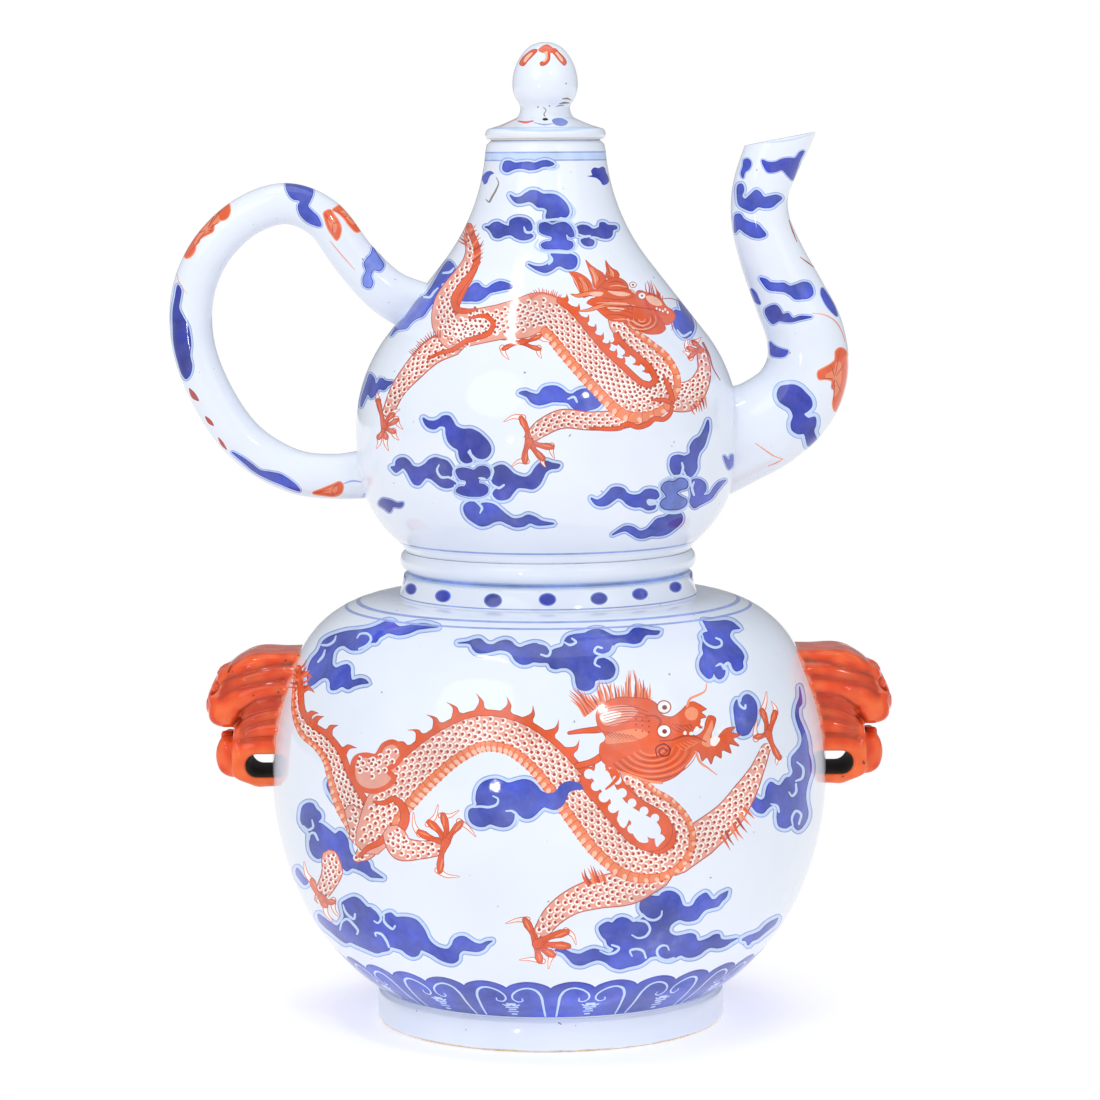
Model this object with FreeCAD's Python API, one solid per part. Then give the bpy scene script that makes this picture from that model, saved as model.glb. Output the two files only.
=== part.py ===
"""Porcelain wine pot on its hot-water warmer, a set with the outline of a double gourd.

The set comes apart into three loose pieces: the lid, the wine pot with its spout and
handle, and the warmer that holds the hot water. Each was built up from separately thrown
or moulded pieces that were joined with slip, and each of those is one solid here.

Sizes are in millimetres. +Z is up, the origin is the centre of the foot's flat underside,
+X points from the axis to the spout and -Y is the front.
"""

import FreeCAD
import Part
import math
import os

from FreeCAD import Vector

# One overrun serves every cut that has to run past a surface.
cut_overrun = 2.0
same_point_distance = 0.000001
straight_share = 0.01
up = Vector(0, 0, 1)
down = Vector(0, 0, -1)

# Warmer: foot ring
foot_radius = 43.0
foot_height = 8.0
foot_wall = 4.2
foot_recess_height = 6.0
foot_edge_round = 0.9
foot_step = 1.3

# Warmer: globular bowl. Its outline is arcs that run into each other: from the belly down
# over the hip to the foot, and from the belly up over the shoulder to the flat top.
bowl_wall = 3.5
bowl_belly_radius = 68.4
bowl_belly_rise = 54.0
bowl_shoulder_rise = 43.2
bowl_shoulder_radius = 38.8
bowl_hip_shares = (0.770, 0.447)
bowl_shoulder_shares = (0.776, 0.333)

# Warmer: collar with its rolled lip
collar_foot_radius = 36.8
collar_band_radius = 35.5
collar_band_height = 5.2
collar_groove_depth = 1.7
collar_groove_height = 0.9
collar_band_hollow = 0.2
collar_lip_bulge = 0.9
collar_lip_height = 5.0
collar_bore_radius = 31.5

# Wine pot: seat ring that rests on the collar's lip
seat_radius = 35.3
seat_ring_height = 1.7
seat_edge_round = 0.4

# Wine pot: heating well that hangs in the hot water
well_wall = 3.0
well_collar_clearance = 1.9
well_depth = 46.0
well_taper = 2.5
well_corner_radius = 8.0

# Wine pot: pear-shaped body. Its outline is arcs from the belly down to the seat ring, and
# an arc, a straight slope and a hollow arc from the belly up to the neck.
pot_wall = 3.0
pot_foot_radius = 35.9
pot_belly_radius = 46.9
pot_belly_rise = 28.0
pot_neck_rise = 68.2
pot_neck_radius = 14.6
pot_hip_shares = (0.965, 0.695)
pot_slope_start_shares = (0.752, 0.659)
pot_slope_end_shares = (0.324, 0.399)
mouth_round = 1.4
mouth_bend_shares = (0.75, 0.95)
mouth_rise_share = 1.5
mouth_bore_radius = 11.2

# Wine pot: spout. Each row gives how far out and up the centre line is, and the girth there.
spout_overhang = 16.8
spout_root_rise = 25.9
spout_rise = 72.7
spout_root_diameter = 24.0
spout_wall = 2.6
spout_hole_radius = 5.0
spout_lip_drop = 1.7
spout_lip_half_width = 8.0
spout_shares = (
    (-0.50, -0.050, 1.04), (-0.01, 0.00, 1.00), (0.38, 0.04, 0.95), (0.80, 0.12, 0.90),
    (1.00, 0.226, 0.845), (0.97, 0.344, 0.795), (0.76, 0.461, 0.735), (0.51, 0.589, 0.66),
    (0.333, 0.713, 0.59), (0.315, 0.813, 0.558), (0.43, 0.913, 0.575), (0.63, 1.01, 0.65),
    (0.90, 1.11, 0.76),
)

# Wine pot: handle. Each row gives how far out and up the centre line is, and the girth there.
handle_reach = 86.9
handle_root_rise = 16.5
handle_height = 66.8
handle_diameter = 10.2
handle_shares = (
    (0.33, 0.600, 1.30), (0.443, 0.672, 1.12), (0.535, 0.793, 1.04), (0.627, 0.948, 1.00),
    (0.725, 1.00, 0.98), (0.834, 0.960, 0.97), (0.938, 0.838, 0.99), (0.993, 0.681, 1.02),
    (0.997, 0.50, 1.02), (0.947, 0.307, 1.02), (0.852, 0.127, 1.03), (0.719, 0.021, 1.05),
    (0.598, 0.0, 1.08), (0.48, 0.013, 1.22),
)

# Lid: plate, locating flange, knob and vent
lid_overhang = 1.5
lid_edge_height = 2.8
lid_dome_height = 2.7
lid_edge_bulge_share = 0.55
lid_dome_rise_share = 0.42
lid_plate_thickness = 3.2
lid_flange_clearance = 0.6
lid_flange_wall = 1.6
lid_flange_depth = 7.0
lid_vent_radius = 0.7
lid_vent_offset = 7.9
knob_foot_radius = 6.9
knob_waist_radius = 6.0
knob_waist_rise = 2.3
knob_ball_radius = 7.95
knob_ball_rise = 8.0
knob_height = 18.2
knob_hollow_shares = (0.8, 0.8)
knob_shoulder_shares = (0.64, 0.225)

# Lion masks, one on each side of the bowl. Each row of the head gives how far out a section
# is, its lowest and its highest point, and its width.
mask_overhang = 16.0
mask_height = 33.2
mask_base_height = 58.9
mask_half_width = 12.5
mask_head_shares = (
    (-0.75, 0.03, 0.985, 0.98), (-0.38, 0.01, 0.985, 1.0), (0.0, 0.0, 0.995, 1.0),
    (0.26, 0.012, 1.0, 0.97), (0.46, 0.042, 0.955, 0.91), (0.59, 0.06, 0.90, 0.84),
)
# Each groove between two strands of the mane: how far it is below the top, and how far out.
mane_groove_shares = ((0.075, 0.70), (0.20, 0.90), (0.33, 0.97), (0.46, 0.99), (0.58, 1.0))
mane_strand_bulge = 0.8
mask_cheek_shares = (0.87, 0.93)
mask_muzzle_place_shares = (0.50, 0.665)
mask_muzzle_half_length = 8.3
mask_muzzle_radius = 6.9
mask_muzzle_tilt = 28.0
mask_mouth_place_shares = (0.42, 0.40)
mask_mouth_half_width = 5.5
mask_mouth_radius = 4.9
mask_chin_place_shares = (0.575, 0.20)
mask_chin_half_width = 6.4
mask_chin_radius = 4.7
mask_eye_place_shares = (0.60, 0.66)
mask_eye_side_share = 0.62
mask_eye_radius = 2.2
mask_hole_reach = 6.0
mask_hole_height = 5.7
mask_hole_rise = 2.8

# Levels and radii that follow from the sizes above
bowl_foot_radius = foot_radius - foot_step
belly_level = foot_height + bowl_belly_rise
collar_level = belly_level + bowl_shoulder_rise
groove_level = collar_level + collar_band_height
lip_level = groove_level + collar_groove_height
seat_level = lip_level + collar_lip_height
pot_level = seat_level + seat_ring_height
pot_belly_level = pot_level + pot_belly_rise
neck_level = pot_belly_level + pot_neck_rise
mouth_level = neck_level + mouth_round * mouth_rise_share
mouth_radius = pot_neck_radius - mouth_round
well_radius = collar_bore_radius - well_collar_clearance
lid_level = mouth_level
lid_edge_radius = mouth_radius + lid_overhang
knob_level = lid_level + lid_edge_height + lid_dome_height


def at(radius, level):
    """A point of a profile in the XZ plane."""
    return Vector(radius, 0, level)


def line(start, end):
    return Part.LineSegment(start, end).toShape()


def tangent_arcs(points, direction):
    """Arcs through the points, each running on from the last, and the direction at each point."""
    edges = []
    directions = [Vector(direction)]
    for start, end in zip(points, points[1:]):
        along = directions[-1]
        chord = end - start
        aside = Vector(-along.z, 0, along.x)
        reach = chord.dot(aside)
        straight = abs(reach) < chord.Length * straight_share
        if straight:
            edges.append(line(start, end))
            directions.append(along)
            continue
        radius = chord.dot(chord) / (reach * 2)
        centre = start + aside * radius
        middle = centre + ((start + end) / 2 - centre).normalize() * abs(radius)
        edges.append(Part.Arc(start, middle, end).toShape())
        unit = Vector(chord).normalize()
        directions.append(unit * (along.dot(unit) * 2) - along)
    return edges, directions


def moved_in(points, direction, wall):
    """The points moved in by the wall, at right angles to the outline."""
    edges, directions = tangent_arcs(points, direction)
    return [point + Vector(-along.z, 0, along.x) * wall for point, along in zip(points, directions)]


def chain(points):
    """Straight edges from point to point, passing over points that fall together."""
    return [line(a, b) for a, b in zip(points, points[1:]) if not a.isEqual(b, same_point_distance)]


def turned(edges):
    """The solid that a closed profile makes when it is turned about the vertical axis."""
    face = Part.Face(Part.Wire(Part.__sortEdges__(edges)))
    solid = face.revolve(Vector(0, 0, 0), Vector(0, 0, 1), 360)
    return Part.Solid(solid.Shells[0]) if solid.ShapeType != "Solid" else solid


def corner_at(start, end, shares):
    """A point between two corners, given by its share of the way out and up."""
    out, rise = shares
    return at(start[0] + (end[0] - start[0]) * out, start[1] + (end[1] - start[1]) * rise)


def bowl_lower():
    """The bowl's outer points from the belly down to the foot."""
    foot = (bowl_foot_radius, foot_height)
    belly = (bowl_belly_radius, belly_level)
    return [at(*belly), corner_at(foot, belly, bowl_hip_shares), at(*foot)]


def bowl_upper():
    """The bowl's outer points from the belly up to the flat top."""
    belly = (bowl_belly_radius, belly_level)
    top = (bowl_shoulder_radius, collar_level)
    return [at(*belly), corner_at(top, belly, bowl_shoulder_shares), at(*top)]


def pot_lower():
    """The pot's outer points from the belly down to the seat ring."""
    foot = (pot_foot_radius, pot_level)
    belly = (pot_belly_radius, pot_belly_level)
    return [at(*belly), corner_at(foot, belly, pot_hip_shares), at(*foot)]


def pot_upper():
    """The pot's outer points from the belly up to the neck."""
    belly = (pot_belly_radius, pot_belly_level)
    neck = (pot_neck_radius, neck_level)
    slope_start = corner_at(neck, belly, pot_slope_start_shares)
    slope_end = corner_at(neck, belly, pot_slope_end_shares)
    return [at(*belly), slope_start, slope_end, at(*neck)]


def outline(lower, upper, wall=0.0):
    """Edges of a vessel's outline, or of the same outline moved in by the wall, and its two ends."""
    low_points = lower
    high_points = upper
    if wall:
        low_points = moved_in(lower, down, -wall)
        high_points = moved_in(upper, up, wall)
    low_edges, low_directions = tangent_arcs(low_points, down)
    high_edges, high_directions = tangent_arcs(high_points, up)
    return low_edges + high_edges, low_points[-1], high_points[-1]


def full_body(lower, upper, bottom_level, top_level):
    """The outer profile turned as a full body, for trimming what is joined to its outside."""
    edges, low, high = outline(lower, upper)
    edges += chain([high, at(high.x, top_level), at(0, top_level)])
    edges += chain([at(0, top_level), at(0, bottom_level), at(low.x, bottom_level), low])
    return turned(edges)


def make_bowl():
    """The hollow bowl, with its flat floor and the ledge that the collar stands on."""
    outer_edges, outer_low, outer_high = outline(bowl_lower(), bowl_upper())
    inner_edges, inner_low, inner_high = outline(bowl_lower(), bowl_upper(), bowl_wall)
    under = at(foot_radius - foot_wall, foot_recess_height)
    ledge = at(collar_bore_radius, collar_level)
    ledge_under = at(collar_bore_radius, inner_high.z)
    edges = outer_edges + inner_edges
    edges += chain([at(0, inner_low.z), at(0, under.z), under, outer_low])
    edges += chain([outer_high, ledge, ledge_under, inner_high])
    edges += chain([inner_low, at(0, inner_low.z)])
    return turned(edges)


def make_foot_ring():
    """The foot ring, with a rounded outer edge and the bevel that carries the bowl."""
    inner = foot_radius - foot_wall
    bend = foot_edge_round
    middle = at(foot_radius - bend + bend * math.cos(math.pi / 4), bend - bend * math.sin(math.pi / 4))
    edge_round = Part.Arc(at(foot_radius - bend, 0), middle, at(foot_radius, bend)).toShape()
    top = at(foot_radius, foot_height - foot_step / 2)
    edges = chain([at(foot_radius, bend), top, at(bowl_foot_radius, foot_height)])
    edges += chain([at(bowl_foot_radius, foot_height), at(inner, foot_recess_height)])
    edges += chain([at(inner, foot_recess_height), at(inner, bend), at(inner + bend, 0)])
    edges += chain([at(inner + bend, 0), at(foot_radius - bend, 0)])
    return turned(edges + [edge_round])


def make_collar():
    """The collar: a flared band, a groove and a rolled lip with a flat rim."""
    groove_radius = collar_band_radius - collar_groove_depth
    band_foot = at(collar_foot_radius, collar_level)
    band_top = at(collar_band_radius, groove_level)
    hollow = at(-collar_band_hollow, 0)
    band = Part.Arc(band_foot, (band_foot + band_top) / 2 + hollow, band_top)
    lip_middle = lip_level + collar_lip_height / 2
    lip = Part.Arc(
        at(groove_radius, lip_level),
        at(collar_band_radius + collar_lip_bulge, lip_middle),
        at(seat_radius, seat_level),
    )
    edges = [band.toShape(), lip.toShape()]
    edges += chain([band_top, at(groove_radius, groove_level), at(groove_radius, lip_level)])
    edges += chain([at(seat_radius, seat_level), at(collar_bore_radius, seat_level)])
    edges += chain([at(collar_bore_radius, seat_level), at(collar_bore_radius, collar_level), band_foot])
    return turned(edges)


def split_at(solid, level):
    """The parts of a solid below and above a level."""
    bounds = solid.BoundBox
    corner = Vector(bounds.XMin, bounds.YMin, level)
    above = Part.makeBox(bounds.XLength, bounds.YLength, bounds.ZMax - level, corner)
    return largest(solid.cut(above)), largest(solid.common(above))


def make_pot_shell():
    """The pot's hollow shell in its three luted rings, with the mouth and the hole to the spout."""
    outer_edges, outer_low, outer_high = outline(pot_lower(), pot_upper())
    inner_edges, inner_low, inner_high = outline(pot_lower(), pot_upper(), pot_wall)
    bend_out, bend_rise = mouth_bend_shares
    bend = Part.Arc(
        outer_high,
        at(mouth_radius + mouth_round * bend_out, neck_level + mouth_round * bend_rise),
        at(mouth_radius, mouth_level),
    )
    edges = outer_edges + inner_edges + [bend.toShape()]
    edges += chain([at(mouth_radius, mouth_level), at(mouth_bore_radius, mouth_level), inner_high])
    edges += chain([outer_low, inner_low])
    shell = turned(edges)
    root = spout_stations()[0][0]
    aim = spout_stations()[1][0] - root
    way = Part.makeCylinder(spout_hole_radius, spout_root_diameter, root - aim, aim)
    neck_seam = pot_upper()[-2]
    lower, rest = split_at(largest(shell.cut(way)), pot_belly_level)
    body, neck = split_at(rest, neck_seam.z)
    return lower, body, neck


def make_seat_ring():
    """The ring between the body and the well, whose flat underside sits on the collar."""
    outer_low = outline(pot_lower(), pot_upper())[1]
    inner_low = outline(pot_lower(), pot_upper(), pot_wall)[1]
    bore = well_radius - well_wall
    bend = seat_edge_round
    corners = [at(bore, seat_level), at(seat_radius - bend, seat_level)]
    corners += [at(seat_radius, seat_level + bend), outer_low, inner_low]
    corners += [at(bore, inner_low.z), at(bore, seat_level)]
    return turned(chain(corners))


def rounded_cup_edges(top_radius, foot, level, floor_level, corner):
    """The side, corner and floor of a tapered round cup, from its rim to the axis."""
    arc_start = at(foot, floor_level + corner)
    arc_end = at(foot - corner, floor_level)
    side = (math.cos(math.pi / 4), math.sin(math.pi / 4))
    middle = at(foot - corner + corner * side[0], floor_level + corner - corner * side[1])
    corner_edge = Part.Arc(arc_start, middle, arc_end).toShape()
    return [line(at(top_radius, level), arc_start), corner_edge, line(arc_end, at(0, floor_level))]


def make_well():
    """The closed cup that hangs from the seat ring into the hot water."""
    floor = seat_level - well_depth
    foot = well_radius - well_taper
    inner_radius = well_radius - well_wall
    inner_corner = well_corner_radius - well_wall
    edges = rounded_cup_edges(well_radius, foot, seat_level, floor, well_corner_radius)
    edges += rounded_cup_edges(inner_radius, foot - well_wall, seat_level, floor + well_wall, inner_corner)
    edges += [line(at(well_radius, seat_level), at(inner_radius, seat_level))]
    edges += [line(at(0, floor), at(0, floor + well_wall))]
    return turned(edges)


def spout_stations():
    """Centre and radius of each section of the spout, from inside the body to past the lip."""
    stations = []
    root_level = pot_level + spout_root_rise
    for out, rise, girth in spout_shares:
        centre = at(pot_belly_radius + spout_overhang * out, root_level + spout_rise * rise)
        stations.append((centre, spout_root_diameter / 2 * girth))
    return stations


def handle_stations():
    """Centre and radius of each section of the handle, from the shoulder to the belly."""
    stations = []
    root_level = pot_level + handle_root_rise
    for out, rise, girth in handle_shares:
        centre = at(-handle_reach * out, root_level + handle_height * rise)
        stations.append((centre, handle_diameter / 2 * girth))
    return stations


def lofted(stations, thinner=0.0):
    """A smooth body through round sections, each square to the line through the centres."""
    spine = Part.BSplineCurve()
    spine.interpolate(Points=[centre for centre, radius in stations])
    sections = []
    for centre, radius in stations:
        circle = Part.Circle()
        circle.Center = centre
        circle.Axis = spine.tangent(spine.parameter(centre))[0]
        circle.XAxis = Vector(0, -1, 0)
        circle.Radius = radius - thinner
        sections.append(Part.Wire([circle.toShape()]))
    return Part.makeLoft(sections, True, False)


def make_spout(pot_outside):
    """The hollow S-shaped spout, trimmed to the body and cut to its slanting lip."""
    stations = spout_stations()
    body = lofted(stations).cut(lofted(stations, spout_wall))
    body = body.cut(pot_outside)
    tip = stations[-2][0]
    left = at(tip.x - spout_lip_half_width, tip.z - spout_lip_drop)
    right = at(tip.x + spout_lip_half_width, tip.z + spout_lip_drop)
    along = (right - left).normalize()
    off_lip = Vector(-along.z, 0, along.x)
    side = spout_root_diameter * 2
    corners = [left - along * side, right + along * side]
    corners += [corners[1] + off_lip * side, corners[0] + off_lip * side]
    block = Part.Face(Part.makePolygon(corners + corners[:1]))
    block.translate(Vector(0, -side / 2, 0))
    return largest(body.cut(block.extrude(Vector(0, side, 0))))


def make_handle(pot_outside):
    """The round looped handle, flared where it is joined to the body."""
    return largest(lofted(handle_stations()).cut(pot_outside))


def largest(shape):
    """The one solid that a cut leaves behind besides slivers."""
    return max(shape.Solids, key=lambda solid: solid.Volume)


def make_lid_plate():
    """The lid's domed plate with its rounded edge and the vent beside the knob."""
    edge_radius = lid_edge_radius
    dome_start = at(edge_radius - lid_overhang / 2, lid_level + lid_edge_height)
    edge = Part.Arc(
        at(mouth_radius, lid_level),
        at(edge_radius, lid_level + lid_edge_height * lid_edge_bulge_share),
        dome_start,
    )
    dome_end = at(knob_foot_radius, knob_level)
    dome_middle = at((dome_start.x + dome_end.x) / 2, dome_start.z + lid_dome_height * lid_dome_rise_share)
    dome = Part.Arc(dome_start, dome_middle, dome_end)
    bore = mouth_bore_radius - lid_flange_clearance - lid_flange_wall
    hollow_top = knob_level - lid_plate_thickness
    edges = [edge.toShape(), dome.toShape()]
    edges += chain([dome_end, at(0, knob_level), at(0, hollow_top), at(knob_foot_radius, hollow_top)])
    edges += chain([at(knob_foot_radius, hollow_top), at(bore, lid_level), at(mouth_radius, lid_level)])
    vent = Part.makeCylinder(
        lid_vent_radius, lid_edge_height + lid_dome_height + cut_overrun * 2,
        Vector(0, -lid_vent_offset, lid_level - cut_overrun)
    )
    return largest(turned(edges).cut(vent))


def make_lid_flange():
    """The ring under the lid that keeps it centred in the mouth."""
    outer = mouth_bore_radius - lid_flange_clearance
    inner = outer - lid_flange_wall
    low = lid_level - lid_flange_depth
    bend = lid_flange_wall / 3
    corners = [at(inner, lid_level), at(outer, lid_level), at(outer, low + bend), at(outer - bend, low)]
    corners += [at(inner + bend, low), at(inner, low + bend), at(inner, lid_level)]
    return turned(chain(corners))


def make_lid_knob():
    """The egg-shaped knob on its waist, from arcs that run into each other at the ball."""
    ball = (knob_ball_radius, knob_level + knob_ball_rise)
    waist = (knob_waist_radius, knob_level + knob_waist_rise)
    tip = (0, knob_level + knob_height)
    foot = at(knob_foot_radius, knob_level)
    hollow = corner_at(ball, waist, knob_hollow_shares)
    shoulder = corner_at(tip, ball, knob_shoulder_shares)
    low_edges, low_directions = tangent_arcs([at(*ball), hollow, at(*waist), foot], down)
    high_edges, high_directions = tangent_arcs([at(*ball), shoulder, at(*tip)], up)
    return turned(low_edges + high_edges + chain([at(*tip), at(0, knob_level), foot]))


def mask_point(place):
    """A point of the mask's middle plane, by its share of the overhang and of the height."""
    out, rise = place
    return at(bowl_belly_radius + mask_overhang * out, mask_base_height + mask_height * rise)


def lump(place, half_long, radius, tilt=None):
    """A rounded lump of the mask, across it, or out from the bowl where a tilt is given."""
    ellipse = Part.Ellipse(Vector(0, 0, 0), max(half_long, radius), min(half_long, radius))
    if half_long < radius:
        ellipse.rotate(FreeCAD.Placement(Vector(0, 0, 0), Vector(0, 0, 1), 90))
    start = ellipse.parameter(Vector(half_long, 0, 0))
    arc = ellipse.toShape(start, start + math.pi)
    face = Part.Face(Part.Wire([arc, line(Vector(-half_long, 0, 0), Vector(half_long, 0, 0))]))
    solid = face.revolve(Vector(0, 0, 0), Vector(1, 0, 0), 360)
    if tilt is None:
        solid.rotate(Vector(0, 0, 0), Vector(0, 0, 1), 90)
    else:
        solid.rotate(Vector(0, 0, 0), Vector(0, 1, 0), tilt)
    solid.translate(mask_point(place))
    return solid


def bulged(start, end, bulge):
    """An arc from point to point that stands out by the bulge, away from the middle plane."""
    chord = end - start
    outward = Vector(0, chord.z, -chord.y).normalize()
    return Part.Arc(start, (start + end) / 2 + outward * bulge, end).toShape()


def mask_section(row):
    """One cross-section of the head, with an arc for each strand of the mane."""
    out, low, high, width = row
    bottom, top = mask_point((out, low)), mask_point((out, high))
    wide = mask_half_width * width
    height = top.z - bottom.z
    side = [top + Vector(0, wide * across, -height * below) for below, across in mane_groove_shares]
    cheek_down, cheek_across = mask_cheek_shares
    side.append(top + Vector(0, wide * cheek_across, -height * cheek_down))
    other_side = [Vector(point.x, -point.y, point.z) for point in reversed(side)]
    edges = [Part.Arc(other_side[-1], top, side[0]).toShape()]
    edges += [Part.Arc(side[-1], bottom, other_side[0]).toShape()]
    for strand in list(zip(side, side[1:])) + list(zip(other_side, other_side[1:])):
        edges.append(bulged(strand[1], strand[0], mane_strand_bulge))
    return Part.Wire(Part.__sortEdges__(edges))


def make_mask(bowl_outside):
    """The lion mask on the spout's side, trimmed to the bowl, with the hole for a ring."""
    head = Part.makeLoft([mask_section(row) for row in mask_head_shares], True, False)
    muzzle = lump(mask_muzzle_place_shares, mask_muzzle_half_length, mask_muzzle_radius, mask_muzzle_tilt)
    mouth = lump(mask_mouth_place_shares, mask_mouth_half_width, mask_mouth_radius)
    chin = lump(mask_chin_place_shares, mask_chin_half_width, mask_chin_radius)
    lumps = [muzzle, mouth, chin]
    for side in (-1, 1):
        aside = Vector(0, side * mask_half_width * mask_eye_side_share, 0)
        lumps.append(Part.makeSphere(mask_eye_radius, mask_point(mask_eye_place_shares) + aside))
    head = head.fuse(lumps)
    bend = mask_hole_height / 2
    hole_level = mask_base_height + mask_hole_rise
    hole_start = Vector(bowl_belly_radius - cut_overrun, -mask_half_width - cut_overrun, hole_level)
    length = (mask_half_width + cut_overrun) * 2
    straight = mask_hole_reach - bend
    slot = Part.makeBox(straight + cut_overrun, length, mask_hole_height, hole_start)
    round_centre = hole_start + Vector(straight + cut_overrun, 0, bend)
    slot = slot.fuse(Part.makeCylinder(bend, length, round_centre, Vector(0, 1, 0)))
    return largest(head.cut(slot).cut(bowl_outside))


def mirrored(solid):
    """The same piece on the handle's side."""
    return solid.mirror(Vector(0, 0, 0), Vector(1, 0, 0))


def main():
    bowl_outside = full_body(bowl_lower(), bowl_upper(), 0, collar_level)
    pot_outside = full_body(pot_lower(), pot_upper(), seat_level, mouth_level)
    right_mask = make_mask(bowl_outside)
    pot_lower_body, pot_body, pot_neck = make_pot_shell()
    pieces = {
        "warmer_foot_ring": make_foot_ring(),
        "warmer_bowl": make_bowl(),
        "warmer_collar": make_collar(),
        "right_lion_mask": right_mask,
        "left_lion_mask": mirrored(right_mask),
        "pot_lower_body": pot_lower_body,
        "pot_body": pot_body,
        "pot_neck": pot_neck,
        "pot_seat_ring": make_seat_ring(),
        "pot_heating_well": make_well(),
        "pot_spout": make_spout(pot_outside),
        "pot_handle": make_handle(pot_outside),
        "lid_plate": make_lid_plate(),
        "lid_flange": make_lid_flange(),
        "lid_knob": make_lid_knob(),
    }
    os.makedirs("parts", exist_ok=True)
    for name, solid in pieces.items():
        print(name, solid.ShapeType, "valid", solid.isValid(), "volume", round(solid.Volume, 1))
        solid.exportStep(os.path.join("parts", name + ".step"))


main()
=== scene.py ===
"""Visual model of the porcelain wine pot on its hot-water warmer.

Lengths are in millimetres inside this file and are turned into metres when a mesh is
made. The vessels, the spout and the handle are closed meshes whose faces follow the
painted outlines, so that each painted shape has its own colour in the paint attribute.
The painting is drawn on the front half and repeated on the back half.
"""

import math
import random

import bpy
import numpy as np
from mathutils import Matrix, Vector, noise
from mathutils.geometry import delaunay_2d_cdt
from mathutils.kdtree import KDTree


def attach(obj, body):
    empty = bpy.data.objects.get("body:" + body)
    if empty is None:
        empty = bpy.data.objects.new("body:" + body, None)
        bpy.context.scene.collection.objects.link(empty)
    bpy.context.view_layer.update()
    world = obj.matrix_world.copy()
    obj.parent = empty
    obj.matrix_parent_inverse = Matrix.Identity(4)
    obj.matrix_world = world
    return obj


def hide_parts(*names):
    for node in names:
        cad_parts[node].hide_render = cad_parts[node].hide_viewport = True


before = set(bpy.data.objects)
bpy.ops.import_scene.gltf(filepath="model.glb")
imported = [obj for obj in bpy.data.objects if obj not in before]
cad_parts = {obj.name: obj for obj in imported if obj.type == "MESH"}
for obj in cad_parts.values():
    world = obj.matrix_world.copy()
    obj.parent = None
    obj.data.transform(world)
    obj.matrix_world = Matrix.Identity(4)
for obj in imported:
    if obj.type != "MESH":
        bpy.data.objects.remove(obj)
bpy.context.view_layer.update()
bpy.context.scene.view_settings.view_transform = "Standard"
random.seed(7)

# Camera of the photo, found from the rings of the foot, collar and lid
picture_width = 1100.0
focal_pixels = 3815.6
camera_distance = 934.16
camera_height = 215.07
camera_aside = 0.49
camera_pitch = math.radians(6.055)
camera_roll = math.radians(0.358)

# Warmer
foot_radius = 43.0
foot_bend = 1.0
foot_shoulder = ((0.0, 7.0), (0.25, 7.45), (0.8, 7.85))
recess_radius = 38.8
recess_level = 6.0
bowl_wall = 3.5
bowl_floor = 9.5
bowl_foot = (41.7, 8.0)
bowl_hip = (62.27, 32.15)
bowl_belly = (68.4, 62.0)
bowl_shoulder = (61.78, 90.8)
bowl_top = (38.8, 105.2)
collar_foot_radius = 36.8
collar_band_radius = 35.5
collar_band_top = 110.4
collar_groove_radius = 33.8
collar_lip_low = 111.3
collar_lip_belly = (36.4, 113.8)
seat_radius = 35.3
seat_level = 116.3
collar_bore = 31.5
shoulder_lines = (103.9, 102.7)
collar_lines = ((110.9, 1.0, "wash"), (110.85, 0.45, "line"), (105.6, 0.3, "line"))

# Wine pot
pot_wall = 3.0
pot_foot = (35.9, 118.0)
pot_hip = (46.52, 137.46)
pot_belly = (46.9, 146.0)
pot_slope_start = (38.9, 169.27)
pot_slope_end = (25.07, 187.0)
pot_neck = (14.6, 214.2)
mouth_radius = 13.2
mouth_level = 216.3
mouth_bore = 11.2
mouth_bend = (mouth_radius + 1.05, pot_neck[1] + 1.33)
seat_bore = 26.6
seat_edge = ((-0.6, 0.0), (-0.2, 0.15), (0.0, 0.6), (0.35, 1.2))
neck_band_level = 212.45
neck_band_height = 1.9
neck_lines = (213.4, 211.5)
pot_foot_line = 118.9

# Spout and handle. Each row gives how far out and up the centre line is, and the girth there.
spout_root = (46.9, 143.9)
spout_reach = 16.8
spout_height = 72.7
spout_width = 24.0
spout_wall = 2.6
spout_shares = (
    (-0.50, -0.050, 1.04),
    (-0.01, 0.00, 1.00),
    (0.38, 0.04, 0.95),
    (0.80, 0.12, 0.90),
    (1.00, 0.226, 0.845),
    (0.97, 0.344, 0.795),
    (0.76, 0.461, 0.735),
    (0.51, 0.589, 0.66),
    (0.333, 0.713, 0.59),
    (0.315, 0.813, 0.568),
    (0.45, 0.913, 0.595),
    (0.64, 1.01, 0.615),
    (0.80, 1.11, 0.61),
)
spout_lip = ((57.15, 216.3), (8.0, 1.51))
handle_reach = 86.9
handle_root = 134.5
handle_height = 66.8
handle_width = 10.2
handle_shares = (
    (0.33, 0.600, 1.30),
    (0.443, 0.672, 1.12),
    (0.535, 0.793, 1.04),
    (0.627, 0.948, 1.00),
    (0.725, 1.00, 0.98),
    (0.834, 0.960, 0.97),
    (0.938, 0.838, 0.99),
    (0.993, 0.681, 1.02),
    (0.997, 0.50, 1.02),
    (0.947, 0.307, 1.02),
    (0.852, 0.127, 1.03),
    (0.719, 0.021, 1.05),
    (0.598, 0.0, 1.08),
    (0.48, 0.013, 1.22),
)

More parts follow.
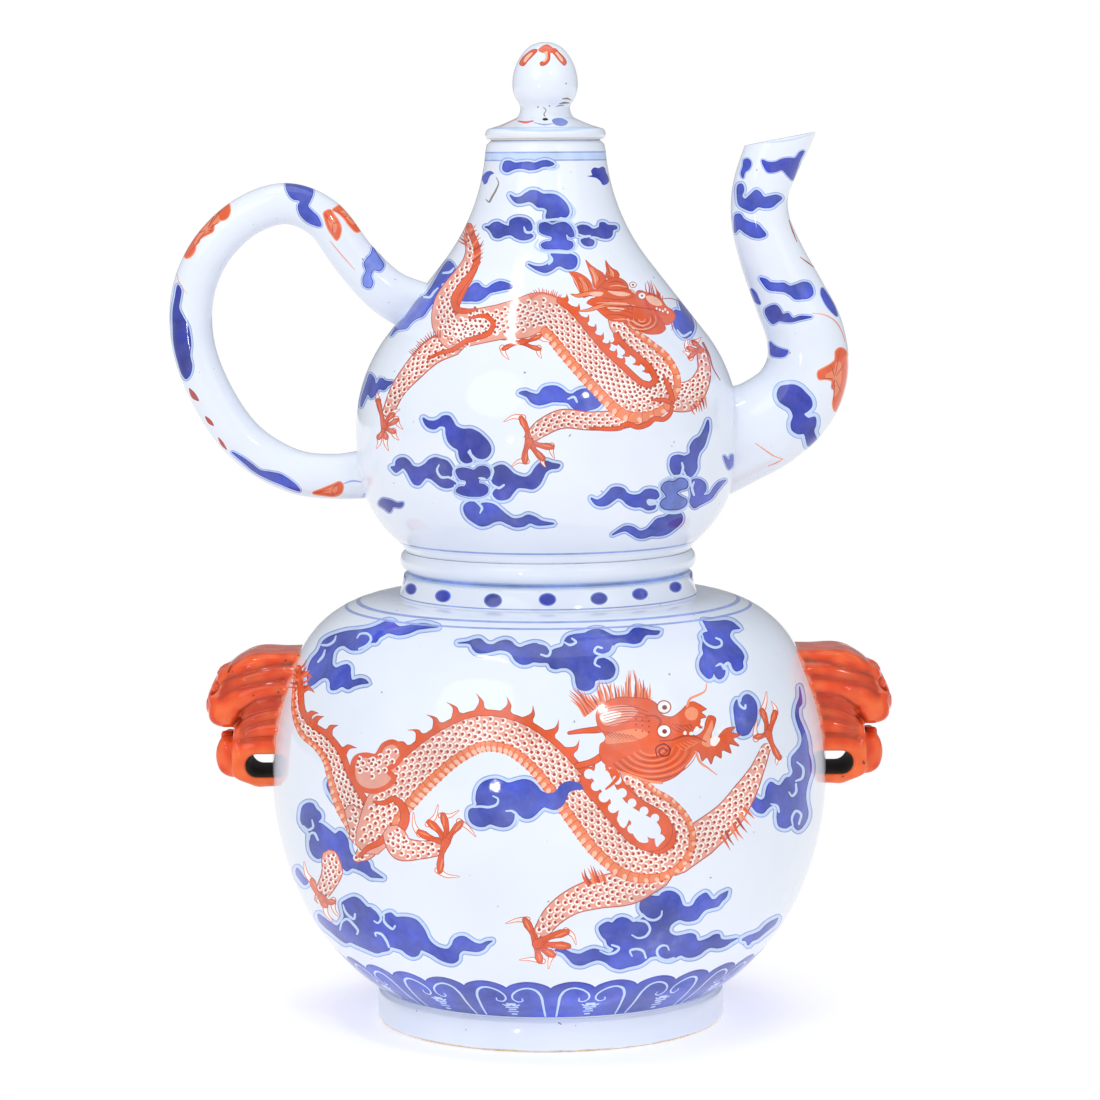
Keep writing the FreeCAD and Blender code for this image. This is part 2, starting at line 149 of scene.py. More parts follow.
# Lid and knob
lid_radius = 14.7
lid_edge_top = (13.95, 219.1)
lid_dome_middle = (10.425, 220.234)
lid_under_level = 218.6
lid_wash_level = 219.25
lid_chip_level = 216.75
flange_root_radius = 9.0
knob_foot_radius = 6.9
knob_radius = 7.95
knob_level = 221.8
knob_top = 240.0
knob_waist_radius = 6.0
knob_waist_rise = 2.3
knob_ball_rise = 8.0
vent_radius = 0.7
vent_offset = 7.9
vent_depth = 2.2

# Meshes and brush work. The paint radii turn angles round a piece into widths of its painted skin.
mirror_columns = 72
tube_columns = 24
knob_columns = 48
grid_step = 1.6
inner_step = 6
border_gap = 0.25
warmer_paint_radius = 55.0
pot_paint_radius = 34.0
collar_paint_radius = 34.0
lid_paint_radius = 14.0
knob_paint_radius = 6.0
thin_line = 0.35
halo_line = 1.2
swirl_widths = (1.4, 2.5, 2.6, 2.0)
scale_turns = [-1.9 + 3.8 * i / 5 for i in range(6)]

# Light, in Blender's units, and the floor, in metres
world_front = 0.78
world_back = 0.34
sky_tone = (0.93, 0.96, 1.0, 1)
floor_reach = 3.0
floor_tone = (0.93, 0.92, 0.96, 1)
floor_glow = 0.38
floor_white_from = 0.040
floor_white_at = 0.115


def colour(code, strength=1.0):
    """Linear red, green, blue and paint strength from a six-digit colour code."""
    parts = [int(code[i:i + 2], 16) / 255 for i in (0, 2, 4)]
    linear = [c / 12.92 if c <= 0.04045 else ((c + 0.055) / 1.055) ** 2.4 for c in parts]
    return (*linear, strength)


paints = {
    "glaze": colour("e8eef8", 0.0),
    "wash": colour("b8d0f5", 0.82),
    "line": colour("7890d6", 0.85),
    "cobalt": colour("3a4ab4", 1.0),
    "cobalt_deep": colour("2a36a4", 1.0),
    "cobalt_pale": colour("6a7fd2", 1.0),
    "red": colour("b03a26", 1.0),
    "red_deep": colour("7c1712", 1.0),
    "orange": colour("e0561f", 1.0),
    "orange_pale": colour("f08a58", 0.95),
    "pink": colour("e79a84", 0.95),
    "white": colour("fdf4ee", 1.0),
    "flame": colour("ec7f4c", 0.97),
    "belly": colour("f7b897", 0.92),
    "chip": colour("6a5640", 0.9),
    "chip_pale": colour("c9b29c", 0.8),
    # painted shade for the dark inside of the lid's vent
    "hole": colour("2c2824", 1.0),
}
paint_names = list(paints)


# Curves and outlines

def arcs_through(points, direction, step=0.4):
    """Points along arcs that run into each other, and the outward normal at each."""
    places, normals = [], []
    along = np.array(direction, float)
    for start, end in zip(points, points[1:]):
        start, end = np.array(start, float), np.array(end, float)
        chord = end - start
        aside = np.array((-along[1], along[0]))
        reach = chord @ aside
        length = np.hypot(*chord)
        unit = chord / length
        leave = unit * (along @ unit) * 2 - along
        steps = max(2, int(length / step))
        for i in range(steps + 1):
            share = i / steps
            if abs(reach) < length * 0.01:
                place, way = start + chord * share, unit
            else:
                radius = length ** 2 / (reach * 2)
                turn = 2 * math.atan2(reach, along @ chord) * share
                centre = start + aside * radius
                c, s = math.cos(turn), math.sin(turn)
                spoke = start - centre
                place = centre + np.array((spoke[0] * c - spoke[1] * s, spoke[0] * s + spoke[1] * c))
                way = np.array((along[0] * c - along[1] * s, along[0] * s + along[1] * c))
            if i or not places:
                places.append(place)
                normals.append(np.array((way[1], -way[0])))
        along = leave
    return np.array(places), np.array(normals)


def smooth_line(points, closed=False, step=1.3):
    """A centripetal curve through the points. A point given twice is a corner."""
    points = [np.array(p, float) for p in points]
    runs = []
    if closed:
        doubled = [i for i in range(len(points)) if np.allclose(points[i], points[(i + 1) % len(points)])]
        if doubled:
            turn = doubled[0] + 1
            points = points[turn:] + points[:turn]
            points.append(points[0])
        else:
            points = points + [points[0]]
    run = [points[0]]
    for p in points[1:]:
        if np.allclose(p, run[-1]):
            if len(run) > 1:
                runs.append(run)
            run = [p]
        else:
            run.append(p)
    if len(run) > 1:
        runs.append(run)
    loop = closed and len(runs) == 1 and np.allclose(runs[0][0], runs[0][-1]) and not doubled
    out = [runs[0][0]]
    for run in runs:
        before = run[-2] if loop else run[0] * 2 - run[1]
        after = run[1] if loop else run[-1] * 2 - run[-2]
        padded = [before] + run + [after]
        for a, b, c, d in zip(padded, padded[1:], padded[2:], padded[3:]):
            t1 = max(np.hypot(*(b - a)), 1e-6) ** 0.5
            t2 = t1 + max(np.hypot(*(c - b)), 1e-6) ** 0.5
            t3 = t2 + max(np.hypot(*(d - c)), 1e-6) ** 0.5
            count = max(1, int(math.ceil(np.hypot(*(c - b)) / step)))
            for i in range(1, count + 1):
                t = t1 + (t2 - t1) * i / count
                a1 = (t1 - t) / t1 * a + t / t1 * b
                a2 = (t2 - t) / (t2 - t1) * b + (t - t1) / (t2 - t1) * c
                a3 = (t3 - t) / (t3 - t2) * c + (t - t2) / (t3 - t2) * d
                b1 = (t2 - t) / t2 * a1 + t / t2 * a2
                b2 = (t3 - t) / (t3 - t1) * a2 + (t - t1) / (t3 - t1) * a3
                out.append((t2 - t) / (t2 - t1) * b1 + (t - t1) / (t2 - t1) * b2)
    out = np.array(out)
    if closed:
        out = out[:-1]
    return out


def widths_along(widths, count):
    """One width for each point, spread evenly over the widths that are given."""
    widths = widths if isinstance(widths, (tuple, list)) else (widths,)
    places = np.linspace(0, 1, len(widths)) if len(widths) > 1 else [0]
    return np.interp(np.linspace(0, 1, count), places, widths)


def normals_along(line, closed=False):
    """The left-hand unit normal at each point of a line."""
    if closed:
        ways = np.roll(line, -1, 0) - np.roll(line, 1, 0)
    else:
        ways = np.gradient(line, axis=0)
    ways /= np.maximum(np.hypot(ways[:, 0], ways[:, 1]), 1e-9)[:, None]
    return np.stack((-ways[:, 1], ways[:, 0]), 1)


def ribbon(line, widths):
    """The outline of a brush line, with round or pointed ends."""
    half = widths_along(widths, len(line))[:, None] / 2
    aside = normals_along(line)
    left, right = line + aside * half, line - aside * half
    ends = []
    for end, spoke, turn in ((line[-1], left[-1] - line[-1], -1), (line[0], right[0] - line[0], -1)):
        cap = []
        if np.hypot(*spoke) > 0.4:
            for i in range(1, 4):
                a = turn * math.pi * i / 4
                cap.append(end + (spoke[0] * math.cos(a) - spoke[1] * math.sin(a),
                                  spoke[0] * math.sin(a) + spoke[1] * math.cos(a)))
        ends.append(cap)
    return np.array(list(left) + ends[0] + list(right[::-1]) + ends[1])


def inside(points, outline):
    """Which points lie inside the outline."""
    found = np.zeros(len(points), bool)
    low, high = outline.min(0), outline.max(0)
    near = np.nonzero(((points >= low) & (points <= high)).all(1))[0]
    a, b = outline, np.roll(outline, -1, 0)
    for part in np.array_split(near, max(1, len(near) * len(outline) // 2000000)):
        x, y = points[part, 0][:, None], points[part, 1][:, None]
        left = (b[:, 0] - a[:, 0]) * (y - a[:, 1]) - (x - a[:, 0]) * (b[:, 1] - a[:, 1])
        rising = (a[:, 1] <= y) & (b[:, 1] > y) & (left > 0)
        falling = (a[:, 1] > y) & (b[:, 1] <= y) & (left < 0)
        found[part] = (rising.sum(1) - falling.sum(1)) != 0
    return found


def pixels_of(points):
    """Where points in millimetres fall in the photo."""
    c, s = math.cos(camera_pitch), math.sin(camera_pitch)
    x = points[..., 0] - camera_aside
    y = points[..., 1] + camera_distance
    z = points[..., 2] - camera_height
    depth = y * c - z * s
    across = focal_pixels * x / depth
    down = -focal_pixels * (y * s + z * c) / depth
    c, s = math.cos(camera_roll), math.sin(camera_roll)
    middle = picture_width / 2
    return np.stack((middle + across * c + down * s, middle - across * s + down * c), -1)


class Turned:
    """A surface turned about the vertical axis. u runs round it and v along its outline."""

    def __init__(self, places, normals, around, whole=False):
        self.places, self.normals, self.around = places, normals, around
        gaps = np.hypot(*np.diff(places, axis=0).T)
        self.length = np.concatenate(([0], np.cumsum(gaps)))
        self.width, self.height = around * math.pi * (2 if whole else 1), self.length[-1]

    def point(self, uv):
        a = uv[:, 0] / self.around
        r = np.interp(uv[:, 1], self.length, self.places[:, 0])
        z = np.interp(uv[:, 1], self.length, self.places[:, 1])
        return np.stack((r * np.sin(a), -r * np.cos(a), z), 1)

    def normal(self, uv):
        a = uv[:, 0] / self.around
        r = np.interp(uv[:, 1], self.length, self.normals[:, 0])
        z = np.interp(uv[:, 1], self.length, self.normals[:, 1])
        return np.stack((r * np.sin(a), -r * np.cos(a), z), 1)

    def v_at_level(self, level):
        return float(np.interp(level, self.places[:, 1], self.length))


class Tube:
    """A round tube whose centre line lies in the XZ plane. u runs round it and v along it.

    A rim is a point and a direction in the XZ plane: the far end follows the plane
    through the point that lies along the direction and along Y.
    """

    def __init__(self, stations, around, rim=None):
        stations = np.array(stations, float)
        fine = smooth_line(stations[:, :2], step=0.4)
        gaps = np.hypot(*np.diff(fine, axis=0).T)
        self.length = np.concatenate(([0], np.cumsum(gaps)))
        marks = [np.argmin(np.hypot(*(fine - s[:2]).T)) for s in stations]
        self.radii = np.interp(np.arange(len(fine)), marks, stations[:, 2] / 2)
        kernel = np.ones(15) / 15
        padded = np.pad(self.radii, 7, mode="edge")
        self.radii = np.convolve(padded, kernel, "valid")
        self.fine, self.aside = fine, normals_along(fine)
        self.around, self.width, self.height = around, around * math.pi, self.length[-1]
        self.turns, self.ends = np.linspace(-math.pi / 2, math.pi / 2, 61), None
        if rim:
            place, way = np.array(rim[0]), np.array(rim[1])
            over = np.array((-way[1], way[0]))
            levels = np.linspace(self.height * 0.7, self.height, 400)
            ends = []
            for a in [0.0] + self.turns.tolist():
                spots = self.point(np.stack((np.full(400, a * around), levels), 1))
                past = (spots[:, [0, 2]] - place) @ over
                ends.append(float(np.interp(0, past, levels)))
            middle = (ends[1] + ends[-1]) / 2
            self.ends, self.height = np.array(ends[1:]) - middle, middle

    def parts(self, uv):
        a, v = uv[:, 0] / self.around, uv[:, 1]
        if self.ends is not None:
            share = np.clip((v - self.height + 16) / 16, 0, 1)
            v = v + share ** 2 * (3 - share * 2) * np.interp(a, self.turns, self.ends)
        centre = np.stack([np.interp(v, self.length, self.fine[:, i]) for i in (0, 1)], 1)
        aside = np.stack([np.interp(v, self.length, self.aside[:, i]) for i in (0, 1)], 1)
        aside /= np.hypot(aside[:, 0], aside[:, 1])[:, None]
        out = np.stack((aside[:, 0] * np.sin(a), -np.cos(a), aside[:, 1] * np.sin(a)), 1)
        return centre, out, np.interp(v, self.length, self.radii)

    def normal(self, uv):
        return self.parts(uv)[1]

    def point(self, uv):
        centre, out, radius = self.parts(uv)
        middle = np.stack((centre[:, 0], np.zeros(len(uv)), centre[:, 1]), 1)
        return middle + out * radius[:, None]

    def loop(self, columns, v):
        us = np.linspace(-self.width / 2, self.width / 2, columns + 1)
        return self.point(np.stack((us, np.full(columns + 1, v)), 1))


class Canvas:
    """The painted front half of a surface: brush shapes go on, a mesh comes off."""

    def __init__(self, surface, base="glaze"):
        self.surface, self.base, self.shapes = surface, base, []
        self.half = surface.width / 2
        us = np.linspace(-self.half, self.half, 161)
        vs = np.linspace(0, surface.height, 320)
        grid = np.stack(np.meshgrid(us, vs), -1).reshape(-1, 2)
        points = surface.point(grid)
        eye = np.array((camera_aside, -camera_distance, camera_height))
        facing = ((eye - points) * surface.normal(grid)).sum(1) > 0
        self.grid = grid[facing]
        self.tree = KDTree(len(self.grid))
        for i, (x, y) in enumerate(pixels_of(points[facing])):
            self.tree.insert((x, y, 0), i)
        self.tree.balance()

    def placed(self, pixels):
        """Surface coordinates of points that are given in photo pixels."""
        pixels = np.array(pixels, float)
        uv = np.array([self.grid[self.tree.find((x, y, 0))[1]] for x, y in pixels])
        step = 0.05
        for _ in range(3):
            now = pixels_of(self.surface.point(uv))
            du = (pixels_of(self.surface.point(uv + (step, 0))) - now) / step
            dv = (pixels_of(self.surface.point(uv + (0, step))) - now) / step
            gap = pixels - now
            det = du[:, 0] * dv[:, 1] - du[:, 1] * dv[:, 0]
            sure = np.abs(det) > 0.8
            det = np.where(sure, det, 1)
            move_u = (gap[:, 0] * dv[:, 1] - gap[:, 1] * dv[:, 0]) / det
            move_v = (du[:, 0] * gap[:, 1] - du[:, 1] * gap[:, 0]) / det
            move = np.clip(np.stack((move_u, move_v), 1), -1.5, 1.5)
            uv = np.where(sure[:, None], uv + move, uv)
        return uv

    def shape(self, outline, paint):
        """Adds an outline in surface coordinates."""
        outline = np.array(outline, float)
        outline[:, 0] = np.clip(outline[:, 0], -self.half, self.half)
        outline[:, 1] = np.clip(outline[:, 1], border_gap, self.surface.height - border_gap)
        self.shapes.append((outline, paint_names.index(paint)))

    def fill(self, pixels, paint, smooth=True):
        line = smooth_line(pixels, closed=True) if smooth else pixels
        self.shape(self.placed(line), paint)

    def stroke(self, pixels, widths, paint, smooth=True):
        line = smooth_line(pixels) if smooth else np.array(pixels, float)
        self.shape(self.placed(ribbon(line, widths)), paint)

    def mesh(self, columns, step=grid_step):
        """Corner coordinates, triangles and the paint of each triangle."""
        rows = max(2, int(round(self.surface.height / step)))
        us = np.linspace(-self.half, self.half, columns + 1)
        vs = np.linspace(0, self.surface.height, rows + 1)
        grid = np.stack(np.meshgrid(us, vs), -1).reshape(-1, 2)
        border = (np.abs(grid[:, 0]) > self.half - 1e-6) | (grid[:, 1] < 1e-6)
        border |= grid[:, 1] > self.surface.height - 1e-6
        points, edges = [], []
        for outline, paint in self.shapes:
            keep = np.hypot(*(outline - np.roll(outline, 1, 0)).T) > 0.02
            outline = outline[keep]
            first = len(points)
            points += [Vector(p) for p in outline]
            edges += [(first + i, first + (i + 1) % len(outline)) for i in range(len(outline))]
        if points:
            tree = KDTree(len(points))
            for i, p in enumerate(points):
                tree.insert((*p, 0), i)
            tree.balance()
            clear = [tree.find((*p, 0))[2] > 0.45 for p in grid]
            grid = grid[np.array(clear) | border]
        points += [Vector(p) for p in grid]
        made = delaunay_2d_cdt(points, edges, [], 0, 1e-4)
        corners = np.array([tuple(p) for p in made[0]])
        faces = np.array([f for f in made[2] if len(f) == 3])
        middles = corners[faces].mean(1)
        paint = np.full(len(faces), paint_names.index(self.base))
        for outline, index in self.shapes:
            paint[inside(middles, outline)] = index
        return corners, faces, paint


class Builder:
    """Collects triangles of one piece's front half, then mirrors and closes them."""

    def __init__(self):
        self.corners, self.normals, self.paints = [], [], []

    def add(self, corners, normals, paints_of):
        self.corners.append(corners)
        self.normals.append(normals)
        self.paints.append(paints_of)

    def add_canvas(self, canvas, columns, step=grid_step, flip=False, inward=False):
        uv, faces, paint = canvas.mesh(columns, step)
        uv_points, uv_normals = canvas.surface.point(uv), canvas.surface.normal(uv)
        if flip:
            faces = faces[:, ::-1]
        if inward:
            uv_normals = -uv_normals
        self.add(uv_points[faces], uv_normals[faces], paint)

    def add_between(self, first, second, facing, paint="glaze"):
        """A strip between two rows of points, turned towards the facing direction."""
        corners = []
        for a, b, c, d in zip(first, first[1:], second[1:], second):
            corners += [(a, b, c), (a, c, d)]
        corners = np.array(corners)
        across = np.cross(corners[:, 1] - corners[:, 0], corners[:, 2] - corners[:, 0])
        if (across @ np.array(facing)).sum() < 0:
            corners = corners[:, ::-1]
        normals = np.broadcast_to(np.array(facing, float), corners.shape)
        self.add(corners, normals, np.full(len(corners), paint_names.index(paint)))

    def dig(self, paint, depth):
        """Sinks the faces of one paint straight down and walls the pit that they leave."""
        corners, paints_of, normals = self.corners[-1], self.paints[-1], self.normals[-1]
        chosen = paints_of == paint_names.index(paint)
        floor_corners, walls, sides = corners[chosen].copy(), {}, []
        for face in floor_corners:
            for a, b in ((0, 1), (1, 2), (2, 0)):
                key_a, key_b = tuple(np.rint(face[a] / 0.002)), tuple(np.rint(face[b] / 0.002))
                if walls.pop((key_b, key_a), None) is None:
                    walls[key_a, key_b] = (face[a], face[b])
        lower = np.array((0, 0, -depth))
        for a, b in walls.values():
            sides += [(a, b, b + lower), (a, b + lower, a + lower)]
        sides = np.array(sides)
        across = np.cross(sides[:, 1] - sides[:, 0], sides[:, 2] - sides[:, 0])
        self.corners[-1], self.normals[-1] = corners[~chosen], normals[~chosen]
        self.paints[-1] = paints_of[~chosen]
        index = paint_names.index(paint)
        self.add(floor_corners + lower, normals[chosen], np.full(len(floor_corners), index))
        self.add(sides, np.repeat(across[:, None], 3, 1), np.full(len(sides), index))

    def add_turned(self, profile, columns, paint="glaze", smooth=False, whole=False):
        """A plain strip turned from a profile, outside on the right of the profile's way."""
        profile = np.array(profile, float)
        ways = np.diff(profile, axis=0)
        ways /= np.maximum(np.hypot(*ways.T), 1e-9)[:, None]
        flat = np.stack((ways[:, 1], -ways[:, 0]), 1)
        if smooth:
            mean = np.concatenate((flat[:1], flat[:-1] + flat[1:], flat[-1:]))
            mean /= np.hypot(*mean.T)[:, None]
        reach = math.pi if whole else math.pi / 2
        angles = np.linspace(-reach, reach, columns + 1)
        sine, cosine = np.sin(angles), -np.cos(angles)
        corners, normals = [], []
        for i in range(len(profile) - 1):
            low, high = profile[i], profile[i + 1]
            n_low, n_high = (mean[i], mean[i + 1]) if smooth else (flat[i], flat[i])
            for j in range(columns):
                quad = [(low, n_low, j), (low, n_low, j + 1), (high, n_high, j + 1), (high, n_high, j)]
                where = [(p[0] * sine[k], p[0] * cosine[k], p[1]) for p, n, k in quad]
                facing = [(n[0] * sine[k], n[0] * cosine[k], n[1]) for p, n, k in quad]
                for three in ((0, 1, 2), (0, 2, 3)):
                    corners.append([where[k] for k in three])
                    normals.append([facing[k] for k in three])
        corners, normals = np.array(corners), np.array(normals)
        self.add(corners, normals, np.full(len(corners), paint_names.index(paint)))

    def object(self, name, mirror=True):
        corners = np.concatenate(self.corners)
        normals = np.concatenate(self.normals)
        paint = np.concatenate(self.paints)
        if mirror:
            other, other_normals = corners[:, ::-1].copy(), normals[:, ::-1].copy()
            other[..., 1] *= -1
            other_normals[..., 1] *= -1
            corners = np.concatenate((corners, other))
            normals = np.concatenate((normals, other_normals))
            paint = np.concatenate((paint, paint))
        keys = np.rint(corners.reshape(-1, 3) / 0.002).astype(np.int64)
        first, index = np.unique(keys, axis=0, return_index=True, return_inverse=True)[1:]
        places = corners.reshape(-1, 3)[first] / 1000
        faces = index.reshape(-1, 3)
        whole = (faces[:, 0] != faces[:, 1]) & (faces[:, 1] != faces[:, 2]) & (faces[:, 2] != faces[:, 0])
        faces, normals, paint = faces[whole], normals[whole], paint[whole]
        mesh = bpy.data.meshes.new(name)
        mesh.from_pydata(places.tolist(), [], faces.tolist())
        mesh.polygons.foreach_set("use_smooth", [True] * len(faces))
        table = np.array([paints[n] for n in paint_names])
        layer = mesh.color_attributes.new("paint", "FLOAT_COLOR", "CORNER")
        layer.data.foreach_set("color", np.repeat(table[paint], 3, 0).ravel())
        normals = normals / np.maximum(np.linalg.norm(normals, axis=-1, keepdims=True), 1e-9)
        mesh.normals_split_custom_set(normals.reshape(-1, 3).tolist())
        obj = bpy.data.objects.new(name, mesh)
        bpy.context.scene.collection.objects.link(obj)
        return obj


# Materials

def shader(name):
    material = bpy.data.materials.new(name)
    material.use_nodes = True
    nodes, links = material.node_tree.nodes, material.node_tree.links
    nodes.clear()
    out = nodes.new("ShaderNodeOutputMaterial")
    body = nodes.new("ShaderNodeBsdfPrincipled")
    links.new(body.outputs[0], out.inputs[0])
    return material, nodes, links, body


def noise_of(nodes, links, scale, detail=4.0, rough=0.55):
    """A noise texture in the object's own coordinates."""
    where = nodes.new("ShaderNodeTexCoord")
    made = nodes.new("ShaderNodeTexNoise")
    made.inputs["Scale"].default_value = scale
    made.inputs["Detail"].default_value = detail
    made.inputs["Roughness"].default_value = rough
    links.new(where.outputs["Object"], made.inputs["Vector"])
    return made.outputs["Fac"]


def ramp_of(nodes, links, source, stops):
    """A ramp over a source, from stops of a place and a grey value or a colour."""
    made = nodes.new("ShaderNodeValToRGB")
    while len(made.color_ramp.elements) < len(stops):
        made.color_ramp.elements.new(0.5)
    for element, (place, value) in zip(made.color_ramp.elements, stops):
        element.position = place
        element.color = value if isinstance(value, tuple) else grey(value)
    links.new(source, made.inputs[0])
    return made.outputs[0]


def layer(nodes, links, noise_values, stops):
    """A ramp over noise."""
    return ramp_of(nodes, links, noise_of(nodes, links, *noise_values), stops)


def fed(links, socket, value):
    """Gives a socket a value or the output of another node."""
    if isinstance(value, (int, float, tuple)):
        socket.default_value = value
    else:
        links.new(value, socket)


def mixed(nodes, links, factor, first, second, way="MIX"):
    """The mix of two colours."""
    made = nodes.new("ShaderNodeMix")
    made.data_type = "RGBA"
    made.blend_type = way
    for place, value in ((0, factor), (6, first), (7, second)):
        fed(links, made.inputs[place], value)
    return made.outputs[2]


def multiplied(nodes, links, first, second):
    made = nodes.new("ShaderNodeMath")
    made.operation = "MULTIPLY"
    fed(links, made.inputs[0], first)
    fed(links, made.inputs[1], second)
    return made.outputs[0]


def mapped(nodes, links, source, values):
    """A source brought from one range, the first two values, to the range of the last two."""
    made = nodes.new("ShaderNodeMapRange")
    for i, value in enumerate(values):
        made.inputs[i + 1].default_value = value
    links.new(source, made.inputs[0])
    return made.outputs[0]


def uneven(nodes, links, body, strength, distance, noise_values):
    """Slight waves in a body's surface."""
    bump = nodes.new("ShaderNodeBump")
    bump.inputs["Strength"].default_value = strength
    bump.inputs["Distance"].default_value = distance
    links.new(noise_of(nodes, links, *noise_values), bump.inputs["Height"])
    links.new(bump.outputs[0], body.inputs["Normal"])


def grey(value):
    return (value, value, value, 1)


# Noise of the materials: scale, detail and roughness, then stops of place and grey value or colour

glaze_clouds = ((26, 3, 0.55), [(0.3, colour("e2e9f6")), (0.7, colour("edf2fb"))])
glaze_specks = ((620, 2, 0.4), [(0.0, 0.35), (0.205, 0.35), (0.235, 1), (1.0, 1)])
glaze_rough = ((90, 6, 0.7), [(0.3, 0.045), (0.7, 0.095)])
glaze_waves = (0.12, 0.0004, (240, 2, 0.5))
glaze_refraction = 1.5
paint_pools = ((75, 3, 0.5), [(0.30, 0.66), (0.48, 1.0), (0.72, 1.55)])
paint_brushing = ((330, 5, 0.65), [(0.28, 0.72), (0.5, 1.0), (0.75, 1.30)])
paint_thinning = ((120, 4, 0.6), [(0.35, 1.0), (0.62, 0.94), (0.8, 0.84)])
density_by_red = [(0.0, 0.85), (0.12, 0.85), (0.5, 0.28)]
clay_tones = ((900, 4, 0.55), [(0.3, colour("b79a72")), (0.7, colour("e0cfa8"))])
clay_border_waver = 0.0012
clay_border_range = (0.0009, 0.0013, 1.0, 0.0)


def painted_over(nodes, links, base):
    """The paint of the attribute over the glaze, denser in the cobalt than in pale paints."""
    paint = nodes.new("ShaderNodeAttribute")
    paint.attribute_name = "paint"
    pools = layer(nodes, links, *paint_pools)
    density = mixed(nodes, links, 1.0, pools, layer(nodes, links, *paint_brushing), "MULTIPLY")
    tones = nodes.new("ShaderNodeSeparateColor")
    links.new(paint.outputs["Color"], tones.inputs[0])
    share = ramp_of(nodes, links, tones.outputs[0], density_by_red)
    density = mixed(nodes, links, share, grey(1.0), density)
    shade = mixed(nodes, links, 1.0, paint.outputs["Color"], density, "MULTIPLY")
    covering = multiplied(nodes, links, paint.outputs["Alpha"], layer(nodes, links, *paint_thinning))
    return mixed(nodes, links, covering, base, shade)


def porcelain(name, painted=True, foot_band=None):
    """Bluish white glaze with specks, and the paint where the attribute gives it."""
    material, nodes, links, body = shader(name)
    clouds = layer(nodes, links, *glaze_clouds)
    base = mixed(nodes, links, 1.0, clouds, layer(nodes, links, *glaze_specks), "MULTIPLY")
    if painted:
        base = painted_over(nodes, links, base)
    if foot_band:
        base = foot_band(nodes, links, base)
    links.new(base, body.inputs["Base Color"])
    links.new(layer(nodes, links, *glaze_rough), body.inputs["Roughness"])
    body.inputs["IOR"].default_value = glaze_refraction
    uneven(nodes, links, body, *glaze_waves)
    return material


def bare_edge(nodes, links, base):
    """Brownish unglazed clay in the lowest millimetre, with an uneven border."""
    where = nodes.new("ShaderNodeTexCoord")
    parts = nodes.new("ShaderNodeSeparateXYZ")
    links.new(where.outputs["Object"], parts.inputs[0])
    waver = nodes.new("ShaderNodeMath")
    waver.operation = "MULTIPLY_ADD"
    waver.inputs[1].default_value = clay_border_waver
    links.new(noise_of(nodes, links, 70, 4), waver.inputs[0])
    links.new(parts.outputs[2], waver.inputs[2])
    reach = mapped(nodes, links, waver.outputs[0], clay_border_range)
    return mixed(nodes, links, reach, base, layer(nodes, links, *clay_tones))


glaze_painted = porcelain("painted_glaze")
glaze_plain = porcelain("plain_glaze", painted=False)
glaze_foot = porcelain("foot_glaze", painted=False, foot_band=bare_edge)


def finished(obj, material, body, slot, *nodes):
    obj.data.materials.append(material)
    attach(obj, body)
    if nodes:
        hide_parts(*nodes)
    return obj


# Painting helpers

def looped(line, again=1):
    """A closed line with its first points given again at its end."""
    return np.concatenate((line, line[:again]))


def rimmed(canvas, outline, paint, rim, rim_paint):
    """A filled outline with a thin rim of another paint round it."""
    canvas.stroke(looped(smooth_line(outline, closed=True)), rim, rim_paint, smooth=False)
    canvas.fill(outline, paint)


def shrunk(outline, centre, shares):
    """An outline drawn in towards its centre."""
    return centre + (np.array(outline) - centre) * shares


def cloud(canvas, outline, swirls=(), paint="cobalt", halo=9.0):
    """A cobalt cloud with its pale gap, thin outer line and reserved swirls."""
    line = smooth_line(outline, closed=True)
    for width, tone in ((halo, "line"), (halo - halo_line * 2, "wash")):
        canvas.stroke(looped(line), width, tone, smooth=False)
    canvas.fill(line, paint, smooth=False)
    canvas.stroke(looped(line), 1.1, "cobalt_deep", smooth=False)
    for swirl in swirls:
        canvas.stroke(swirl, swirl_widths, "wash")


def scales(canvas, line, widths, low=-0.42, high=0.42, size=6.6):
    """Rows of scales over a band along a line: a red dot in a pale crescent each."""
    wide = widths_along(widths, len(line))
    first, last = line[0] - line[1], line[-1] - line[-2]
    before = line[0] + first / np.hypot(*first) * wide[0] * 0.30
    after = line[-1] + last / np.hypot(*last) * wide[-1] * 0.30
    line = np.concatenate(([before], line, [after]))
    wide = np.concatenate(([wide[0] * 0.7], wide, [wide[-1] * 0.7]))
    aside = normals_along(line)
    gaps = np.hypot(*np.diff(line, axis=0).T)
    length = np.concatenate(([0], np.cumsum(gaps)))
    row = 0
    place = size * 0.5
    while place < length[-1]:
        at = np.array([np.interp(place, length, line[:, i]) for i in (0, 1)])
        out = np.array([np.interp(place, length, aside[:, i]) for i in (0, 1)])
        out /= np.hypot(*out)
        width = np.interp(place, length, wide)
        count = max(1, int(width * (high - low) / size))
        for k in range(count):
            share = low + (high - low) * (k + (0.75 if row % 2 else 0.25)) / count
            stray = np.array((random.uniform(-0.4, 0.4), random.uniform(-0.4, 0.4)))
            scale(canvas, at + out * width * share + stray, out, size)
        place += size * 0.80
        row += 1


def scale(canvas, centre, out, size):
    """A pale crescent that opens backwards, with a red dot in it."""
    way = np.array((out[1], -out[0]))
    bow = [centre + (way * math.cos(a) + out * math.sin(a)) * size * 0.40 for a in scale_turns]
    canvas.shape(canvas.placed(ribbon(np.array(bow), 1.5)), "white")
    canvas.shape(canvas.placed(disc(centre, 1.45, 1.6, 7)), "red")


